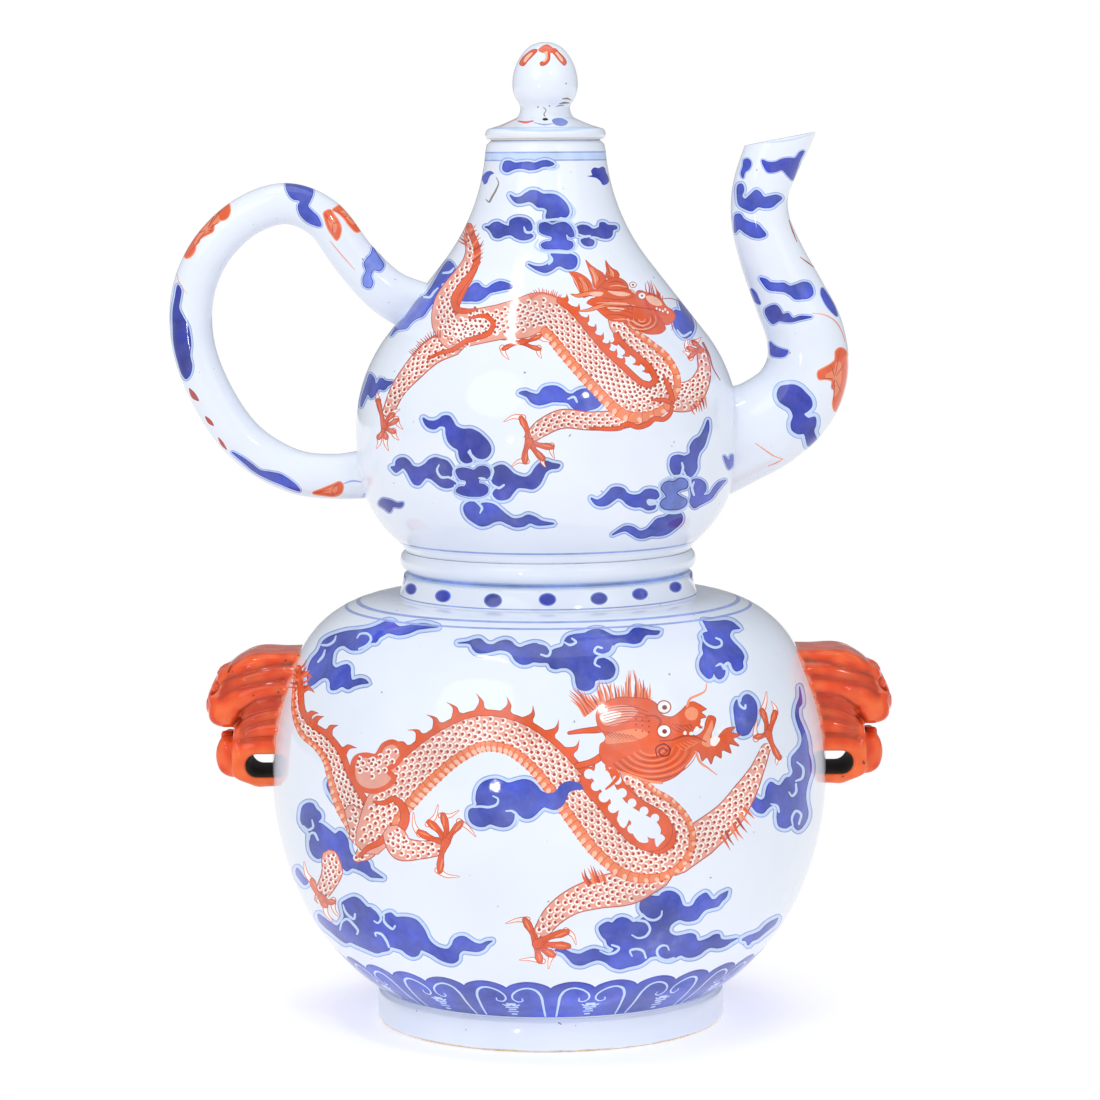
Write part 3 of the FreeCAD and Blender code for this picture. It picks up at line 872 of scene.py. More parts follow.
def band_along(stations):
    """A smooth line and its width at each point, from (x, y, width) stations."""
    line = smooth_line([s[:2] for s in stations])
    marks = [int(np.argmin(np.hypot(*(line - s[:2]).T))) for s in stations]
    marks = np.maximum.accumulate(marks)
    return line, np.interp(np.arange(len(line)), marks, [s[2] for s in stations])


def offset_line(line, widths, share):
    """The line moved aside by a share of the half width at each point."""
    return line + normals_along(line) * (widths * share / 2)[:, None]


def piece_of(line, low, high):
    return line[int(len(line) * low):max(int(len(line) * high), int(len(line) * low) + 3)]


def limb(canvas, stations, size=6.0, edge="red"):
    """A scaly leg between its stations."""
    line, wide = band_along(stations)
    canvas.stroke(line, tuple(wide + 2.0), edge, smooth=False)
    canvas.stroke(line, tuple(wide), "pink", smooth=False)
    scales(canvas, line, tuple(wide), -0.42, 0.42, size)


def dragon_body(canvas, stations, fin=(0.0, 1.0), belly=(0.0, 1.0), spikes=(), size=6.8):
    """A scaly body with its fin on one side and its belly plates on the other."""
    line, wide = band_along(stations)
    canvas.stroke(line, tuple(wide + 1.6), "red", smooth=False)
    canvas.stroke(line, tuple(wide), "pink", smooth=False)
    scales(canvas, line, tuple(wide), -0.36, 0.33, size)
    plates = piece_of(offset_line(line, wide, 0.80), *belly)
    depth = piece_of(wide, *belly) * 0.22
    canvas.stroke(plates, tuple(depth + 1.5), "orange", smooth=False)
    canvas.stroke(plates, tuple(depth), "flame", smooth=False)
    across = normals_along(plates)
    for i in range(4, len(plates) - 2, 6):
        way = np.array((across[i][1], -across[i][0]))
        outer = plates[i] + across[i] * depth[i] * 0.22
        canvas.fill([outer - way * 2.7, outer - across[i] * depth[i] * 0.3 - way * 1.2, outer + way * 2.4,
                     outer + across[i] * depth[i] * 0.42 + way * 0.4], "belly")
        reach = across[i] * depth[i] * 0.52
        canvas.stroke([plates[i] - reach + way * 3, plates[i] + way * 2.2, plates[i] + reach * 1.2 + way * 3],
                      (0.9, 0.8, 1.2), "orange")
    ridge = piece_of(offset_line(line, wide, -0.90), *fin)
    canvas.stroke(ridge, 6.6, "red", smooth=False)
    canvas.stroke(ridge, 5.0, "orange", smooth=False)
    edge = offset_line(line, wide, -1.0)
    out = -normals_along(line)
    for share, height, lean in spikes:
        i = int(share * (len(line) - 1))
        way = np.array((-out[i][1], out[i][0]))
        base = edge[i] + out[i] * 0.4
        bend = -1.0 if lean < 0 else 1.0
        for grow, tone in ((0.8, "red"), (0.0, "orange")):
            tip = base + out[i] * (height * 1.42 + grow) + way * lean
            hook = [base - way * (6.4 + grow), base + out[i] * height * 0.26 - way * (3.6 + grow),
                    base + out[i] * height * 0.80 - way * (1.9 + grow + bend * 1.9), tip, tip,
                    base + out[i] * height * 0.74 + way * (1.4 + grow - bend * 1.4),
                    base + out[i] * height * 0.24 + way * (3.4 + grow), base + way * (6.4 + grow)]
            canvas.fill(hook, tone)
    return line, wide


def talon(canvas, knuckle, tip, bow=2.0):
    """A pale hooked claw with a thin outline."""
    knuckle, tip = np.array(knuckle, float), np.array(tip, float)
    way = tip - knuckle
    side = np.array((-way[1], way[0])) / max(np.hypot(*way), 1e-6)
    line = smooth_line([knuckle - way * 0.15, knuckle + way * 0.45 + side * bow * 1.3, tip + way * 0.12])
    canvas.stroke(line, (6.4, 5.2, 3.4, 1.5), "orange", smooth=False)
    canvas.stroke(line, (4.4, 3.4, 1.9, 0.4), "white", smooth=False)


def toe(canvas, palm, knuckle, tip, bow=2.0, width=5.5):
    """A knobby toe from the palm to its knuckle, with a claw at its end."""
    palm, knuckle = np.array(palm, float), np.array(knuckle, float)
    way = knuckle - palm
    side = np.array((-way[1], way[0])) / max(np.hypot(*way), 1e-6)
    talon(canvas, knuckle, tip, bow)
    line = smooth_line([palm, palm + way * 0.5 + side * bow * 0.9, knuckle])
    for extra, tone in ((1.5, "red"), (0, "orange")):
        widths = np.array((1.5, 1.05, 0.72, 0.9, 1.2, 0.8)) * width + extra
        canvas.stroke(line, tuple(widths), tone, smooth=False)
    shine = [palm + way * 0.62, knuckle - way * 0.05]
    canvas.stroke(shine, (width * 0.24, width * 0.34, width * 0.2), "flame")
    fold = [palm + way * 0.15 + side, palm + way * 0.5 + side * (bow * 0.9 + 0.8)]
    canvas.stroke(fold, (0.7, 0.5), "red")


def hairs(canvas, roots, tips, count, width=2.4, tones=("orange", "red", "flame")):
    """Pointed strands from places along one line to places along another."""
    roots, tips = np.array(roots, float), np.array(tips, float)
    marks_root, marks_tip = np.linspace(0, 1, len(roots)), np.linspace(0, 1, len(tips))
    for i in range(count):
        share = (i + 0.5) / count
        root = np.array([np.interp(share, marks_root, roots[:, k]) for k in (0, 1)])
        tip = np.array([np.interp(share, marks_tip, tips[:, k]) for k in (0, 1)])
        tip = root + (tip - root) * random.uniform(0.72, 1.05)
        way = tip - root
        side = np.array((-way[1], way[0])) * random.uniform(-0.10, 0.10)
        canvas.stroke([root, (root + tip) / 2 + side, tip], (width, width * 0.7, 0.4), tones[i % len(tones)])


def ring_line(canvas, level, height, paint):
    """A painted line all round at a level."""
    low, high = canvas.surface.v_at_level(level - height / 2), canvas.surface.v_at_level(level + height / 2)
    us = np.linspace(-canvas.half, canvas.half, 145)
    outline = [(u, low) for u in us] + [(u, high) for u in us[::-1]]
    canvas.shape(outline, paint)


def disc(centre, across, down, count=14):
    return [(centre[0] + across * math.cos(math.tau * i / count),
             centre[1] + down * math.sin(math.tau * i / count)) for i in range(count)]


def claw(canvas, palm, toes, width):
    """The toes that spread from one palm."""
    for knuckle, tip, bow in toes:
        toe(canvas, palm, knuckle, tip, bow, width)


def fan(canvas, first, last, count, widths, tones):
    """Thin lines that change step by step from the first to the last."""
    first, last = np.array(first, float), np.array(last, float)
    for i in range(count):
        canvas.stroke(first + (last - first) * i / (count - 1), widths, tones[i % len(tones)])


def mane_arcs(canvas, middle, reaches, stretch, turns, widths, tones):
    """Curved strands round a middle, one for each reach."""
    for i, reach in enumerate(reaches):
        arc = [(middle[0] + reach * stretch[0] * math.cos(a), middle[1] + reach * stretch[1] * math.sin(a))
               for a in np.linspace(*turns, 9)]
        canvas.stroke(arc, widths, tones[i % len(tones)])


def eye(canvas, centre, white, rim, pupil, gaze=(0, 0)):
    """A white eye with a red rim and a dark pupil."""
    across, down = white
    canvas.fill(disc(centre, across + rim, down + rim), "red")
    canvas.fill(disc(centre, across, down), "white")
    canvas.fill(disc((centre[0] + gaze[0], centre[1] + gaze[1]), *pupil), "red_deep")


# Painting of the warmer, in photo pixels

warmer_clouds = [
    ([(438, 627), (438, 627), (430, 624.5), (420, 623.5), (408, 625.5), (399, 626.5), (392, 621.5),
      (386, 621.5), (378, 625), (370, 628), (358, 630), (348, 631), (338, 633.5), (329, 637), (323, 641.5),
      (321, 646), (318, 652), (312, 659), (308.5, 667), (307.5, 676), (309, 686), (314, 684), (319, 680),
      (324, 677.5), (328, 678.5), (330, 682), (331, 689.5), (336, 689.5), (342, 686.5), (348, 689),
      (353, 686.5), (359, 684.5), (368.5, 683), (368.5, 683), (365, 679.5), (360, 678.5), (352, 680),
      (350.5, 674), (350, 667), (347, 664.5), (341, 666), (336, 668), (332.5, 665), (332.5, 657),
      (334, 651.5), (338, 647), (344, 645.5), (348, 648), (352, 650), (360, 649.5), (366, 646),
      (371, 642.5), (376, 642), (379, 638), (383, 635.5), (388, 633), (398, 635), (406, 634), (412, 632),
      (418, 629.5), (425, 628.5)],
     [[(357, 638), (360, 634), (368, 634), (371, 639), (367, 645), (359, 649)],
      [(336, 636), (334, 641), (328, 645), (322, 645)], [(325, 650), (323, 656), (318, 662)]]),
    ([(458, 643), (458, 643), (468, 641.5), (474, 639.5), (480, 639), (487, 644), (493, 644.5),
      (499, 641.5), (506, 640), (511, 641.5), (515, 645.5), (520, 647.5), (526, 645.5), (533, 643.5),
      (540, 644), (546, 647), (549, 651), (551, 651), (555, 649), (563, 646), (565, 640), (568, 636.5),
      (574, 634.5), (585, 633), (589, 631), (595, 629.5), (602, 630), (608, 633), (614, 635.5),
      (622, 635.5), (628, 634), (631, 631), (634, 628.5), (640, 628), (652, 630.5), (660, 631), (660, 631),
      (658, 634), (646, 635), (643, 638), (640, 642), (634, 643.5), (626, 642.5), (618, 642.5), (614, 645),
      (612, 649), (609, 652.5), (603, 654.5), (600, 657), (606, 659), (612, 663), (615, 669), (613, 676),
      (608, 679), (600, 679.5), (595, 681), (594, 686), (590, 689.5), (584, 690.5), (578, 688), (576, 683),
      (575, 676), (572, 671), (567, 668), (560, 668), (556, 669), (551, 667.5), (548, 663), (540, 662.5),
      (533, 662), (528, 664), (521, 664), (515, 660), (512, 655), (508, 651.5), (500, 650), (492, 651.5),
      (484, 653), (477, 652.5), (473, 649), (470, 644)],
     [[(538, 643), (546, 645), (550.5, 651), (548, 656), (541, 654.5)],
      [(564, 642), (570, 645), (576, 642), (572, 638.5)],
      [(613, 646), (610, 652), (602, 655), (594.5, 651.5), (597, 647), (602, 648)],
      [(600, 667), (595, 664), (597, 658), (604, 656.5)]]),
    ([(703, 621), (703, 621), (710, 621.5), (718, 621), (726, 620.5), (732, 622), (740, 628.5),
      (740, 628.5), (732, 630), (729.5, 636), (733, 642), (738, 647), (742, 652), (744, 657), (742.5, 662),
      (743, 667), (740, 670), (736, 671), (733, 668), (731, 663), (728, 661), (724, 663), (722, 666),
      (725, 671), (723, 677), (719, 679), (715.5, 676), (714, 672), (712, 677), (709, 678.5), (704, 675),
      (700.5, 670), (699.5, 664), (701, 658), (703.5, 654), (702.5, 648), (703, 641), (701.5, 636),
      (704, 633), (708, 631.5), (706, 627)],
     [[(702, 634), (704, 641), (709, 645.5), (716, 647.5), (721.5, 645), (721, 640.5), (716, 638)],
      [(716, 666), (721, 664), (724, 669)]]),
    ([(737, 700), (741, 703), (743, 697), (747, 694.5), (752, 697), (756, 703), (757, 711), (756, 720),
      (752, 728), (748, 734), (742, 735.5), (738, 733), (736, 726), (734.5, 716), (734, 706)],
     [[(738, 699), (740.5, 706), (745, 708.5), (745.5, 705)]]),
    ([(741, 804), (744, 799), (749, 796), (754, 796), (758, 799), (762, 800), (765, 797), (766, 791),
      (768, 785), (771, 782), (776, 785), (780, 785.5), (783, 782), (786, 778), (790, 777), (793, 772),
      (791.5, 765), (792, 757), (796, 752), (800, 747), (802, 740), (801, 733), (798, 725), (795.5, 715),
      (796.5, 706), (799.5, 697), (799.5, 687), (799.5, 687), (801.5, 697), (801.5, 704), (798.8, 708),
      (799, 717), (803, 727), (806, 735), (808, 745), (808.5, 752), (811, 762), (811, 772), (808, 782),
      (806, 792), (806, 800), (808, 815), (804, 825), (798, 830), (792, 825), (786, 828), (779, 826),
      (777, 818), (777, 808), (773, 805), (768, 808), (763, 813), (757, 812), (751, 806), (746, 806)],
     [[(797, 762), (803, 768), (802, 778), (796, 781)], [(789, 792), (792, 796), (796, 792), (796, 784)],
      [(793, 826), (792, 818), (796, 811), (801, 814), (799, 824)], [(771, 804), (777, 806), (779, 812)]]),
    ([(476, 800), (477, 791), (481, 784), (488, 780), (497, 779), (503, 781), (508, 783), (518, 780.5),
      (524, 779.5), (531, 781), (537, 786), (541, 791), (547, 793), (553, 792.5), (557, 789.5), (560, 785),
      (566, 781.5), (572, 781), (579, 783), (585, 788), (585, 788), (578, 789.5), (572, 790.5), (569, 793),
      (567, 798), (564, 804), (560, 808), (554, 809.5), (548, 808), (544, 807), (539, 811), (535, 815),
      (530, 818), (524, 818), (519.5, 815), (515, 812), (513.5, 820), (510, 825), (504, 827), (497, 826),
      (490, 824), (484, 826.5), (477, 826), (471, 822), (468.5, 815), (470, 809.5), (475, 807.5),
      (477, 804)],
     [[(493, 796), (498, 799), (497, 804), (490, 807), (480, 806.5), (474, 807)],
      [(506, 811), (512, 811), (517, 815), (518, 821), (516, 826)]]),
    ([(327, 786), (328, 781), (332, 778.5), (337, 780), (342, 778.5), (347, 779), (352, 783), (355.5, 789),
      (355, 797), (357, 806), (355, 811.5), (350, 810), (343, 806), (336, 802), (333, 798), (330, 793)],
     [[(331, 778), (325, 781), (324, 788), (328, 794), (333, 795.5), (335, 791)]]),
    ([(303, 806), (308, 803), (313, 804), (316, 809), (320, 813), (321, 818), (318, 822), (322, 824),
      (326, 827), (331, 831), (335, 834), (340, 831), (345, 835), (348, 841), (349, 848), (352, 855),
      (358, 858.5), (364, 859), (369, 863), (371, 869), (376, 873), (383, 878), (383, 878), (377, 877.5),
      (371, 877), (365, 873), (359, 870), (352, 868), (347, 871), (343, 868), (338, 863), (334, 857),
      (329, 854.5), (323, 857), (318, 858.5), (313, 855), (310, 848), (309.5, 840), (309, 832), (305, 828),
      (301, 821), (301, 813)],
     [[(312, 820), (313, 827), (308, 830), (303, 826)], [(309, 840), (310, 834), (314, 833), (318, 840)]]),
    ([(342, 903), (346, 900), (350, 898), (354, 897), (359, 899), (363, 903), (367, 907), (372, 908),
      (377, 912), (381, 918), (386, 914), (391, 913), (396, 917), (402, 917), (409, 917.5), (416, 920),
      (421, 925), (425, 931), (428, 938), (433, 944), (440, 948), (448, 949), (452, 945), (454, 940),
      (458, 937), (464, 936.5), (470, 940), (475, 943), (481, 944), (487, 941.5), (492, 941), (492, 941),
      (487, 945), (484, 949), (478, 951.5), (470, 951), (463, 950.5), (459, 954), (458, 960), (453, 963),
      (446, 962), (439, 959), (433, 955), (426, 951.5), (421, 950), (418, 955), (413, 956.5), (407, 954),
      (402, 950), (396, 948), (390, 947), (389, 950), (383, 951.5), (377, 953), (371, 951), (364, 948),
      (357, 945), (350, 942), (346, 943), (341, 940), (336, 936), (330, 931), (324, 926), (319, 920),
      (318, 914), (323, 917), (330, 922), (337, 926), (341, 922), (344, 917), (343, 910)],
     [[(343, 905), (345, 911), (349, 916), (354, 919), (355, 914)],
      [(374, 921), (378, 923), (381, 919), (378, 912), (372, 907)],
      [(384, 915), (384, 921), (388, 926), (393, 929), (395, 926)],
      [(340, 930), (342, 922), (347, 919), (353, 924), (358, 931), (357, 934)],
      [(376, 936), (375, 933), (381, 934), (386, 940), (389, 947)]]),
    ([(599, 928), (603, 924), (608, 922), (612, 923), (617, 919), (622, 917.5), (628, 919), (633, 922.5),
      (640, 920), (644, 916), (640, 909), (641, 901), (645, 897), (650, 896), (659, 896), (662, 893),
      (668, 891), (674, 892), (679, 896), (681, 901), (683, 905.5), (688, 907), (693, 905), (696, 900),
      (700, 896), (706, 893), (709, 896), (712, 899.5), (716, 899), (720, 895), (728, 891), (728, 891),
      (726, 897), (722, 901), (718, 906), (711, 908), (705, 910), (701, 914), (697, 919), (691, 921),
      (685, 921), (680, 919.5), (674, 922), (670, 926), (669, 931), (671, 934), (676, 936), (683, 935),
      (690, 933.5), (695, 935), (698, 941), (708, 938.5), (714, 935), (719, 934.5), (721, 939), (726, 940),
      (738, 938), (738, 938), (731, 942), (725, 946), (718, 948), (710, 947.5), (705, 950), (700, 954),
      (693, 957), (686, 957), (681, 955), (676, 957), (670, 959.5), (662, 958.5), (657, 956), (650, 957),
      (646, 960), (640, 964), (628, 967), (620, 969), (612, 967), (605, 962), (598, 960), (590, 962),
      (582, 965), (574, 964), (568, 958), (563, 953), (555, 950), (563, 949), (572, 953), (580, 954),
      (587, 951), (594, 949), (602, 951), (610, 953), (614, 949), (608, 945), (606, 940), (602, 936)],
     [[(662, 911), (661, 916), (655, 920), (648, 919), (642, 914)],
      [(632, 935), (638, 938), (646, 936), (650, 929), (646, 922), (636, 920), (628, 917)],
      [(669, 950), (667, 946), (661, 946), (657, 951), (659, 957), (666, 960), (674, 958)],
      [(632, 956), (630, 951), (636, 949), (643, 951), (646, 958)],
      [(600, 951), (608, 954), (616, 952), (619, 948), (612, 945)]]),
    ([(742, 940), (748, 936), (754, 934), (760, 931), (765, 926), (770, 922), (778, 918), (778, 918),
      (775, 924), (768, 930), (762, 935), (757, 939), (752, 941), (748, 945), (746, 941)], []),
    ([(297, 868), (300, 871), (304, 877), (308, 882), (305, 885), (300, 880), (296, 873)], []),
]


# Outlines of the warmer's dragon, in photo pixels. Stations are x, y and width.

warmer_tail = [(297, 668, 3), (297, 690, 8), (298, 712, 11), (307, 730, 17), (322, 742, 20), (333, 757, 21),
               (339, 775, 23), (349, 800, 30), (364, 824, 34)]
warmer_tail_spikes = [(0.05, 9, 2), (0.13, 9, 3), (0.30, 8, 1), (0.36, 9, 1), (0.47, 9, 2), (0.58, 10, 3)]
warmer_tail_tufts = [
    ([(297, 690), (298, 666)], [(284, 690), (288, 656)], 6),
    ([(300, 666), (305, 690)], [(306, 656), (314, 684)], 5),
]
warmer_small_foot = [(330, 858, 16), (332, 872, 20), (324, 890, 15), (320, 898, 10)]
warmer_legs = [
    ([(352, 812, 14), (366, 832, 38), (366, 850, 20), (358, 858, 8)], 6.4),
    ([(655, 868, 40), (628, 886, 36), (598, 893, 30), (572, 902, 24), (553, 916, 20), (540, 934, 14)], 6.6),
    ([(676, 862, 26), (700, 840, 34), (728, 816, 28), (745, 792, 22), (757, 770, 13), (766, 748, 8)], 6.2),
]
warmer_leg_tufts = [
    ([(586, 884), (606, 880)], [(578, 868), (590, 864), (600, 868)], 7),
    ([(720, 838), (734, 824), (746, 806)], [(728, 852), (744, 840), (757, 816)], 7),
]
warmer_body = [(372, 838, 34), (384, 812, 42), (400, 788, 46), (424, 764, 45), (450, 744, 42),
               (480, 731, 40), (512, 735, 38), (540, 753, 40), (563, 778, 43), (585, 808, 45),
               (608, 838, 46), (634, 861, 40), (662, 864, 30), (681, 849, 24), (682, 828, 22),
               (666, 808, 22), (648, 797, 22), (636, 783, 21), (629, 768, 20)]
warmer_body_spikes = [(0.135, 9, -6), (0.17, 10, -6), (0.205, 10, -6), (0.24, 11, -4), (0.275, 12, -4),
                      (0.31, 12, -3), (0.345, 11, -3), (0.38, 11, -3), (0.42, 12, -3), (0.465, 11, -3),
                      (0.51, 10, -4)]
cloud_before_body = [(541, 791), (547, 793), (553, 792.5), (557, 789.5), (560, 785), (566, 781.5),
                     (572, 781), (579, 783), (587, 789), (578, 790), (572, 791), (569, 793), (567, 798),
                     (564, 804), (560, 808), (554, 809.5), (548, 808), (541, 800)]
warmer_hip = [(353, 764), (357, 757), (366, 755), (376, 756), (384, 745), (393, 742), (400, 747), (402, 756),
              (396, 764), (388, 770), (394, 778), (388, 786), (376, 791), (362, 789), (354, 780)]
warmer_hip_middle = [(360, 764), (372, 768), (384, 762), (394, 750)]
warmer_hip_edge = [(374, 802), (384, 803), (393, 799), (402, 806), (405, 818), (400, 830), (388, 834),
                   (380, 842), (368, 848), (360, 856)]
warmer_hind_leg = [(394, 836, 22), (402, 848, 24), (420, 850, 17), (437, 848, 15)]

# Claws: where the palm is, its toes as knuckle, tip and bow, and how wide they are
warmer_small_claw = ((322, 898), [((312, 880), (305, 864), -2), ((326, 906), (332, 920), 2),
                                  ((334, 902), (339, 916), 2)], 4.5)
warmer_claws = [
    ((446, 842), [((419, 832), (414, 815), -2), ((429, 822), (437, 807), 2), ((443, 815), (457, 811), 2),
                  ((461, 823), (474, 835), -1), ((440, 871), (457, 876), 2)], 5.5),
    ((768, 733), [((762, 710), (766, 694), 1), ((775, 712), (772, 703), 1), ((756, 737), (757, 722), -1),
                  ((779, 758), (777, 764), 1)], 4.5),
    ((537, 944), [((525, 920), (508, 923), 1), ((540, 961), (522, 960), 1), ((553, 955), (549, 967), 1),
                  ((568, 946), (566, 944), 0), ((567, 932), (575, 943), -2)], 6),
]

warmer_flame = [(583, 778), (590, 790), (601, 800), (611, 812), (622, 824), (636, 838), (650, 845),
                (662, 842), (667, 830), (660, 817), (645, 808), (630, 798), (620, 785), (613, 772)]
warmer_flame_widths = (6.5, 10.5, 12.5, 13.5, 14.5, 14.5, 12.5, 10.5, 10.5, 10.5, 10.5, 10.5, 8.5, 6.5)
warmer_flame_gaps = [
    [(612, 793), (618, 790), (619, 799), (623, 806), (617, 811), (611, 803)],
    [(619, 811), (625, 808), (630, 812), (628, 822), (624, 828), (619, 824)],
    [(633, 817), (638, 818), (640, 828), (646, 834), (648, 842), (640, 842), (633, 834), (631, 826)],
    [(643, 824), (650, 821), (659, 826), (653, 831), (650, 836), (645, 832)],
    [(655, 838), (660, 834), (665, 838), (661, 843), (657, 847)],
]
warmer_flame_scallops = [
    ((589, 774), 5), ((596, 786), 5), ((604, 797), 5.4), ((613, 808), 5), ((622, 819), 5), ((632, 829), 4.6),
    ((617, 780), 4.6), ((622, 793), 4.8), ((632, 803), 4.4), ((644, 811), 4.4), ((655, 818), 4.2),
]


def paint_warmer_dragon(canvas):
    """The dragon of the warmer: tail, legs, body, hip, claws, and the flame round its neck."""
    dragon_body(canvas, warmer_tail, spikes=warmer_tail_spikes, size=5.2)
    limb(canvas, warmer_small_foot, 5.0)
    claw(canvas, *warmer_small_claw)
    for stations, size in warmer_legs:
        limb(canvas, stations, size)
    dragon_body(canvas, warmer_body, (0.16, 0.97), (0.05, 0.99), warmer_body_spikes)
    canvas.fill(cloud_before_body, "cobalt")
    for roots, tips, count in warmer_leg_tufts:
        hairs(canvas, roots, tips, count, 3.2)
    for roots, tips, count in warmer_tail_tufts:
        hairs(canvas, roots, tips, count)
    canvas.fill(warmer_hip, "pink")
    canvas.stroke(looped(smooth_line(warmer_hip, closed=True), 2), 5.4, "orange", smooth=False)
    scales(canvas, smooth_line(warmer_hip_middle), (18, 24, 20, 12), size=6.2)
    canvas.stroke(warmer_hip_edge, (3, 6, 7, 9, 10, 10, 8, 7, 6, 4), "red")
    canvas.stroke(warmer_hip_edge, (1.4, 4.5, 5.5, 7.5, 8.5, 8.5, 6.5, 5.5, 4.5, 2.4), "orange")
    limb(canvas, warmer_hind_leg, 6.2)
    for palm, toes, width in warmer_claws:
        claw(canvas, palm, toes, width)
    flame = smooth_line(warmer_flame)
    for extra, tone in ((1.5, "red"), (0, "orange")):
        canvas.stroke(flame, [width + extra for width in warmer_flame_widths], tone, smooth=False)
    for gap in warmer_flame_gaps:
        canvas.fill(gap, "glaze")
    for centre, radius in warmer_flame_scallops:
        canvas.fill(disc(centre, radius, radius), "glaze")


# The head of the warmer's dragon, in photo pixels

warmer_head_tufts = [
    ([(584, 716), (600, 704)], [(566, 696), (572, 685), (594, 694)], 13),
    ([(600, 706), (622, 706)], [(594, 684), (600, 679), (610, 681), (622, 682)], 15),
    ([(624, 704), (650, 700)], [(622, 684), (632, 664), (640, 678), (651, 684)], 15),
]
warmer_antlers = [
    ([(569, 733), (582, 731), (600, 729), (616, 722), (634, 722)], (2, 6, 7)),
    ([(577, 766), (592, 762), (604, 755), (622, 748), (645, 742)], (5, 6, 8)),
]
warmer_head = [(597, 712), (604, 704), (618, 698), (635, 698), (650, 700), (657, 705), (659, 712),
               (664, 716), (672, 717), (680, 712), (686, 706), (692, 702), (698, 704), (706, 709),
               (706, 709), (701, 712), (706, 717), (706, 717), (700, 719), (702, 728), (702, 728),
               (696, 727), (690, 733), (696, 736), (704, 730), (706, 722), (709, 716), (715, 718),
               (714, 726), (711, 734), (712, 741), (716, 740), (720, 735), (726, 729), (735, 727),
               (735, 727), (731, 732), (740, 735), (740, 735), (733, 739), (739, 746), (739, 746),
               (729, 744), (731, 753), (731, 753), (722, 750), (721, 758), (721, 758), (715, 755),
               (711, 764), (711, 764), (707, 757), (702, 761), (702, 761), (699, 752), (693, 750),
               (689, 758), (684, 768), (674, 777), (660, 782), (645, 781), (628, 774), (612, 768),
               (602, 760), (600, 748), (606, 738), (598, 725)]
warmer_head_patches_and_highlights = [
    ([(600, 744), (612, 740), (632, 744), (652, 742), (668, 742), (688, 738), (700, 742), (696, 752),
      (688, 764), (674, 776), (660, 781), (645, 780), (628, 773), (612, 767), (602, 759)], "orange"),
    ([(640, 700), (654, 703), (657, 715), (668, 720), (680, 717), (690, 720), (694, 730), (684, 737),
      (668, 739), (652, 740), (644, 730), (650, 716)], "orange"),
    # The pink patch and the white patch on the forehead are a painted highlight.
    ([(600, 712), (612, 706), (630, 706), (638, 712), (630, 719), (612, 726), (602, 723)], "pink"),
    ([(600, 716), (612, 711), (622, 714), (612, 721), (603, 722)], "white"),
    ([(606, 736), (620, 731), (640, 729), (648, 734), (638, 740), (620, 743), (606, 743)], "flame"),
]
warmer_mouth_patches = [
    ([(686, 710), (692, 707), (698, 711), (696, 719), (689, 720), (685, 715)], "orange_pale"),
    ([(703, 738), (708, 728), (712, 720), (713, 728), (710, 738), (714, 744), (708, 747), (702, 744)],
     "orange_pale"),
    ([(711, 738), (716, 736), (720, 739), (715, 746), (711, 745)], "white"),
]
warmer_brow = ([(600, 711), (616, 707), (634, 707), (648, 712)],
               [(606, 726.6), (622, 722.6), (634, 721.04), (648, 721.36)])
warmer_cheek = ([(668, 722), (674, 729), (684, 733)], [(684, 726), (690, 725), (693.6, 729)])
warmer_lip = ([(676, 744), (684, 750), (690, 746)], [(689.6, 740), (696.8, 742), (700.4, 742)])
warmer_nape = ([(603, 731), (612, 738)], [(631, 735.2), (640, 740.8)])
warmer_mane_middle = (652, 744)
warmer_teeth = [(697, 729, 2.0), (691, 734, 1.8), (685, 733, 1.6), (702, 724, 1.8), (719, 731, 1.8),
                (723, 727, 1.4)]
warmer_eyes = [(664, 707), (664, 731)]
warmer_head_lines = [
    ([(645, 716), (655, 716), (661, 721), (658, 727)], (1.5, 2.2, 1.5), "red"),
    ([(660, 741), (672, 740), (684, 736), (696, 737), (706, 742)], (1.2, 2.2, 1.2), "red"),
    ([(667, 751), (663, 748), (659, 751), (662, 756), (668, 755), (670, 749), (664, 744), (656, 748),
      (657, 756)], (1.3, 1.6, 1.3), "red_deep"),
]
warmer_first_freckle = (636, 719)
freckle_gaps = (6.5, 5.5)
warmer_whiskers = [
    ([(687, 706), (690, 699), (698, 695), (705, 691), (707, 682)], (2.6, 2.2, 0.8), "orange_pale"),
    ([(696, 752), (700, 762), (708, 768), (717, 775)], (2.6, 2.2, 0.8), "orange_pale"),
    ([(662, 783), (648, 781), (630, 775), (606, 766)], (2.6, 2.2, 0.8), "orange_pale"),
    ([(606, 770), (614, 770), (618, 776), (613, 783), (606, 789)], (1.5, 4.5, 2), "orange"),
    ([(609, 772), (607, 766), (611, 760)], (1.5, 4.5, 2), "orange"),
]


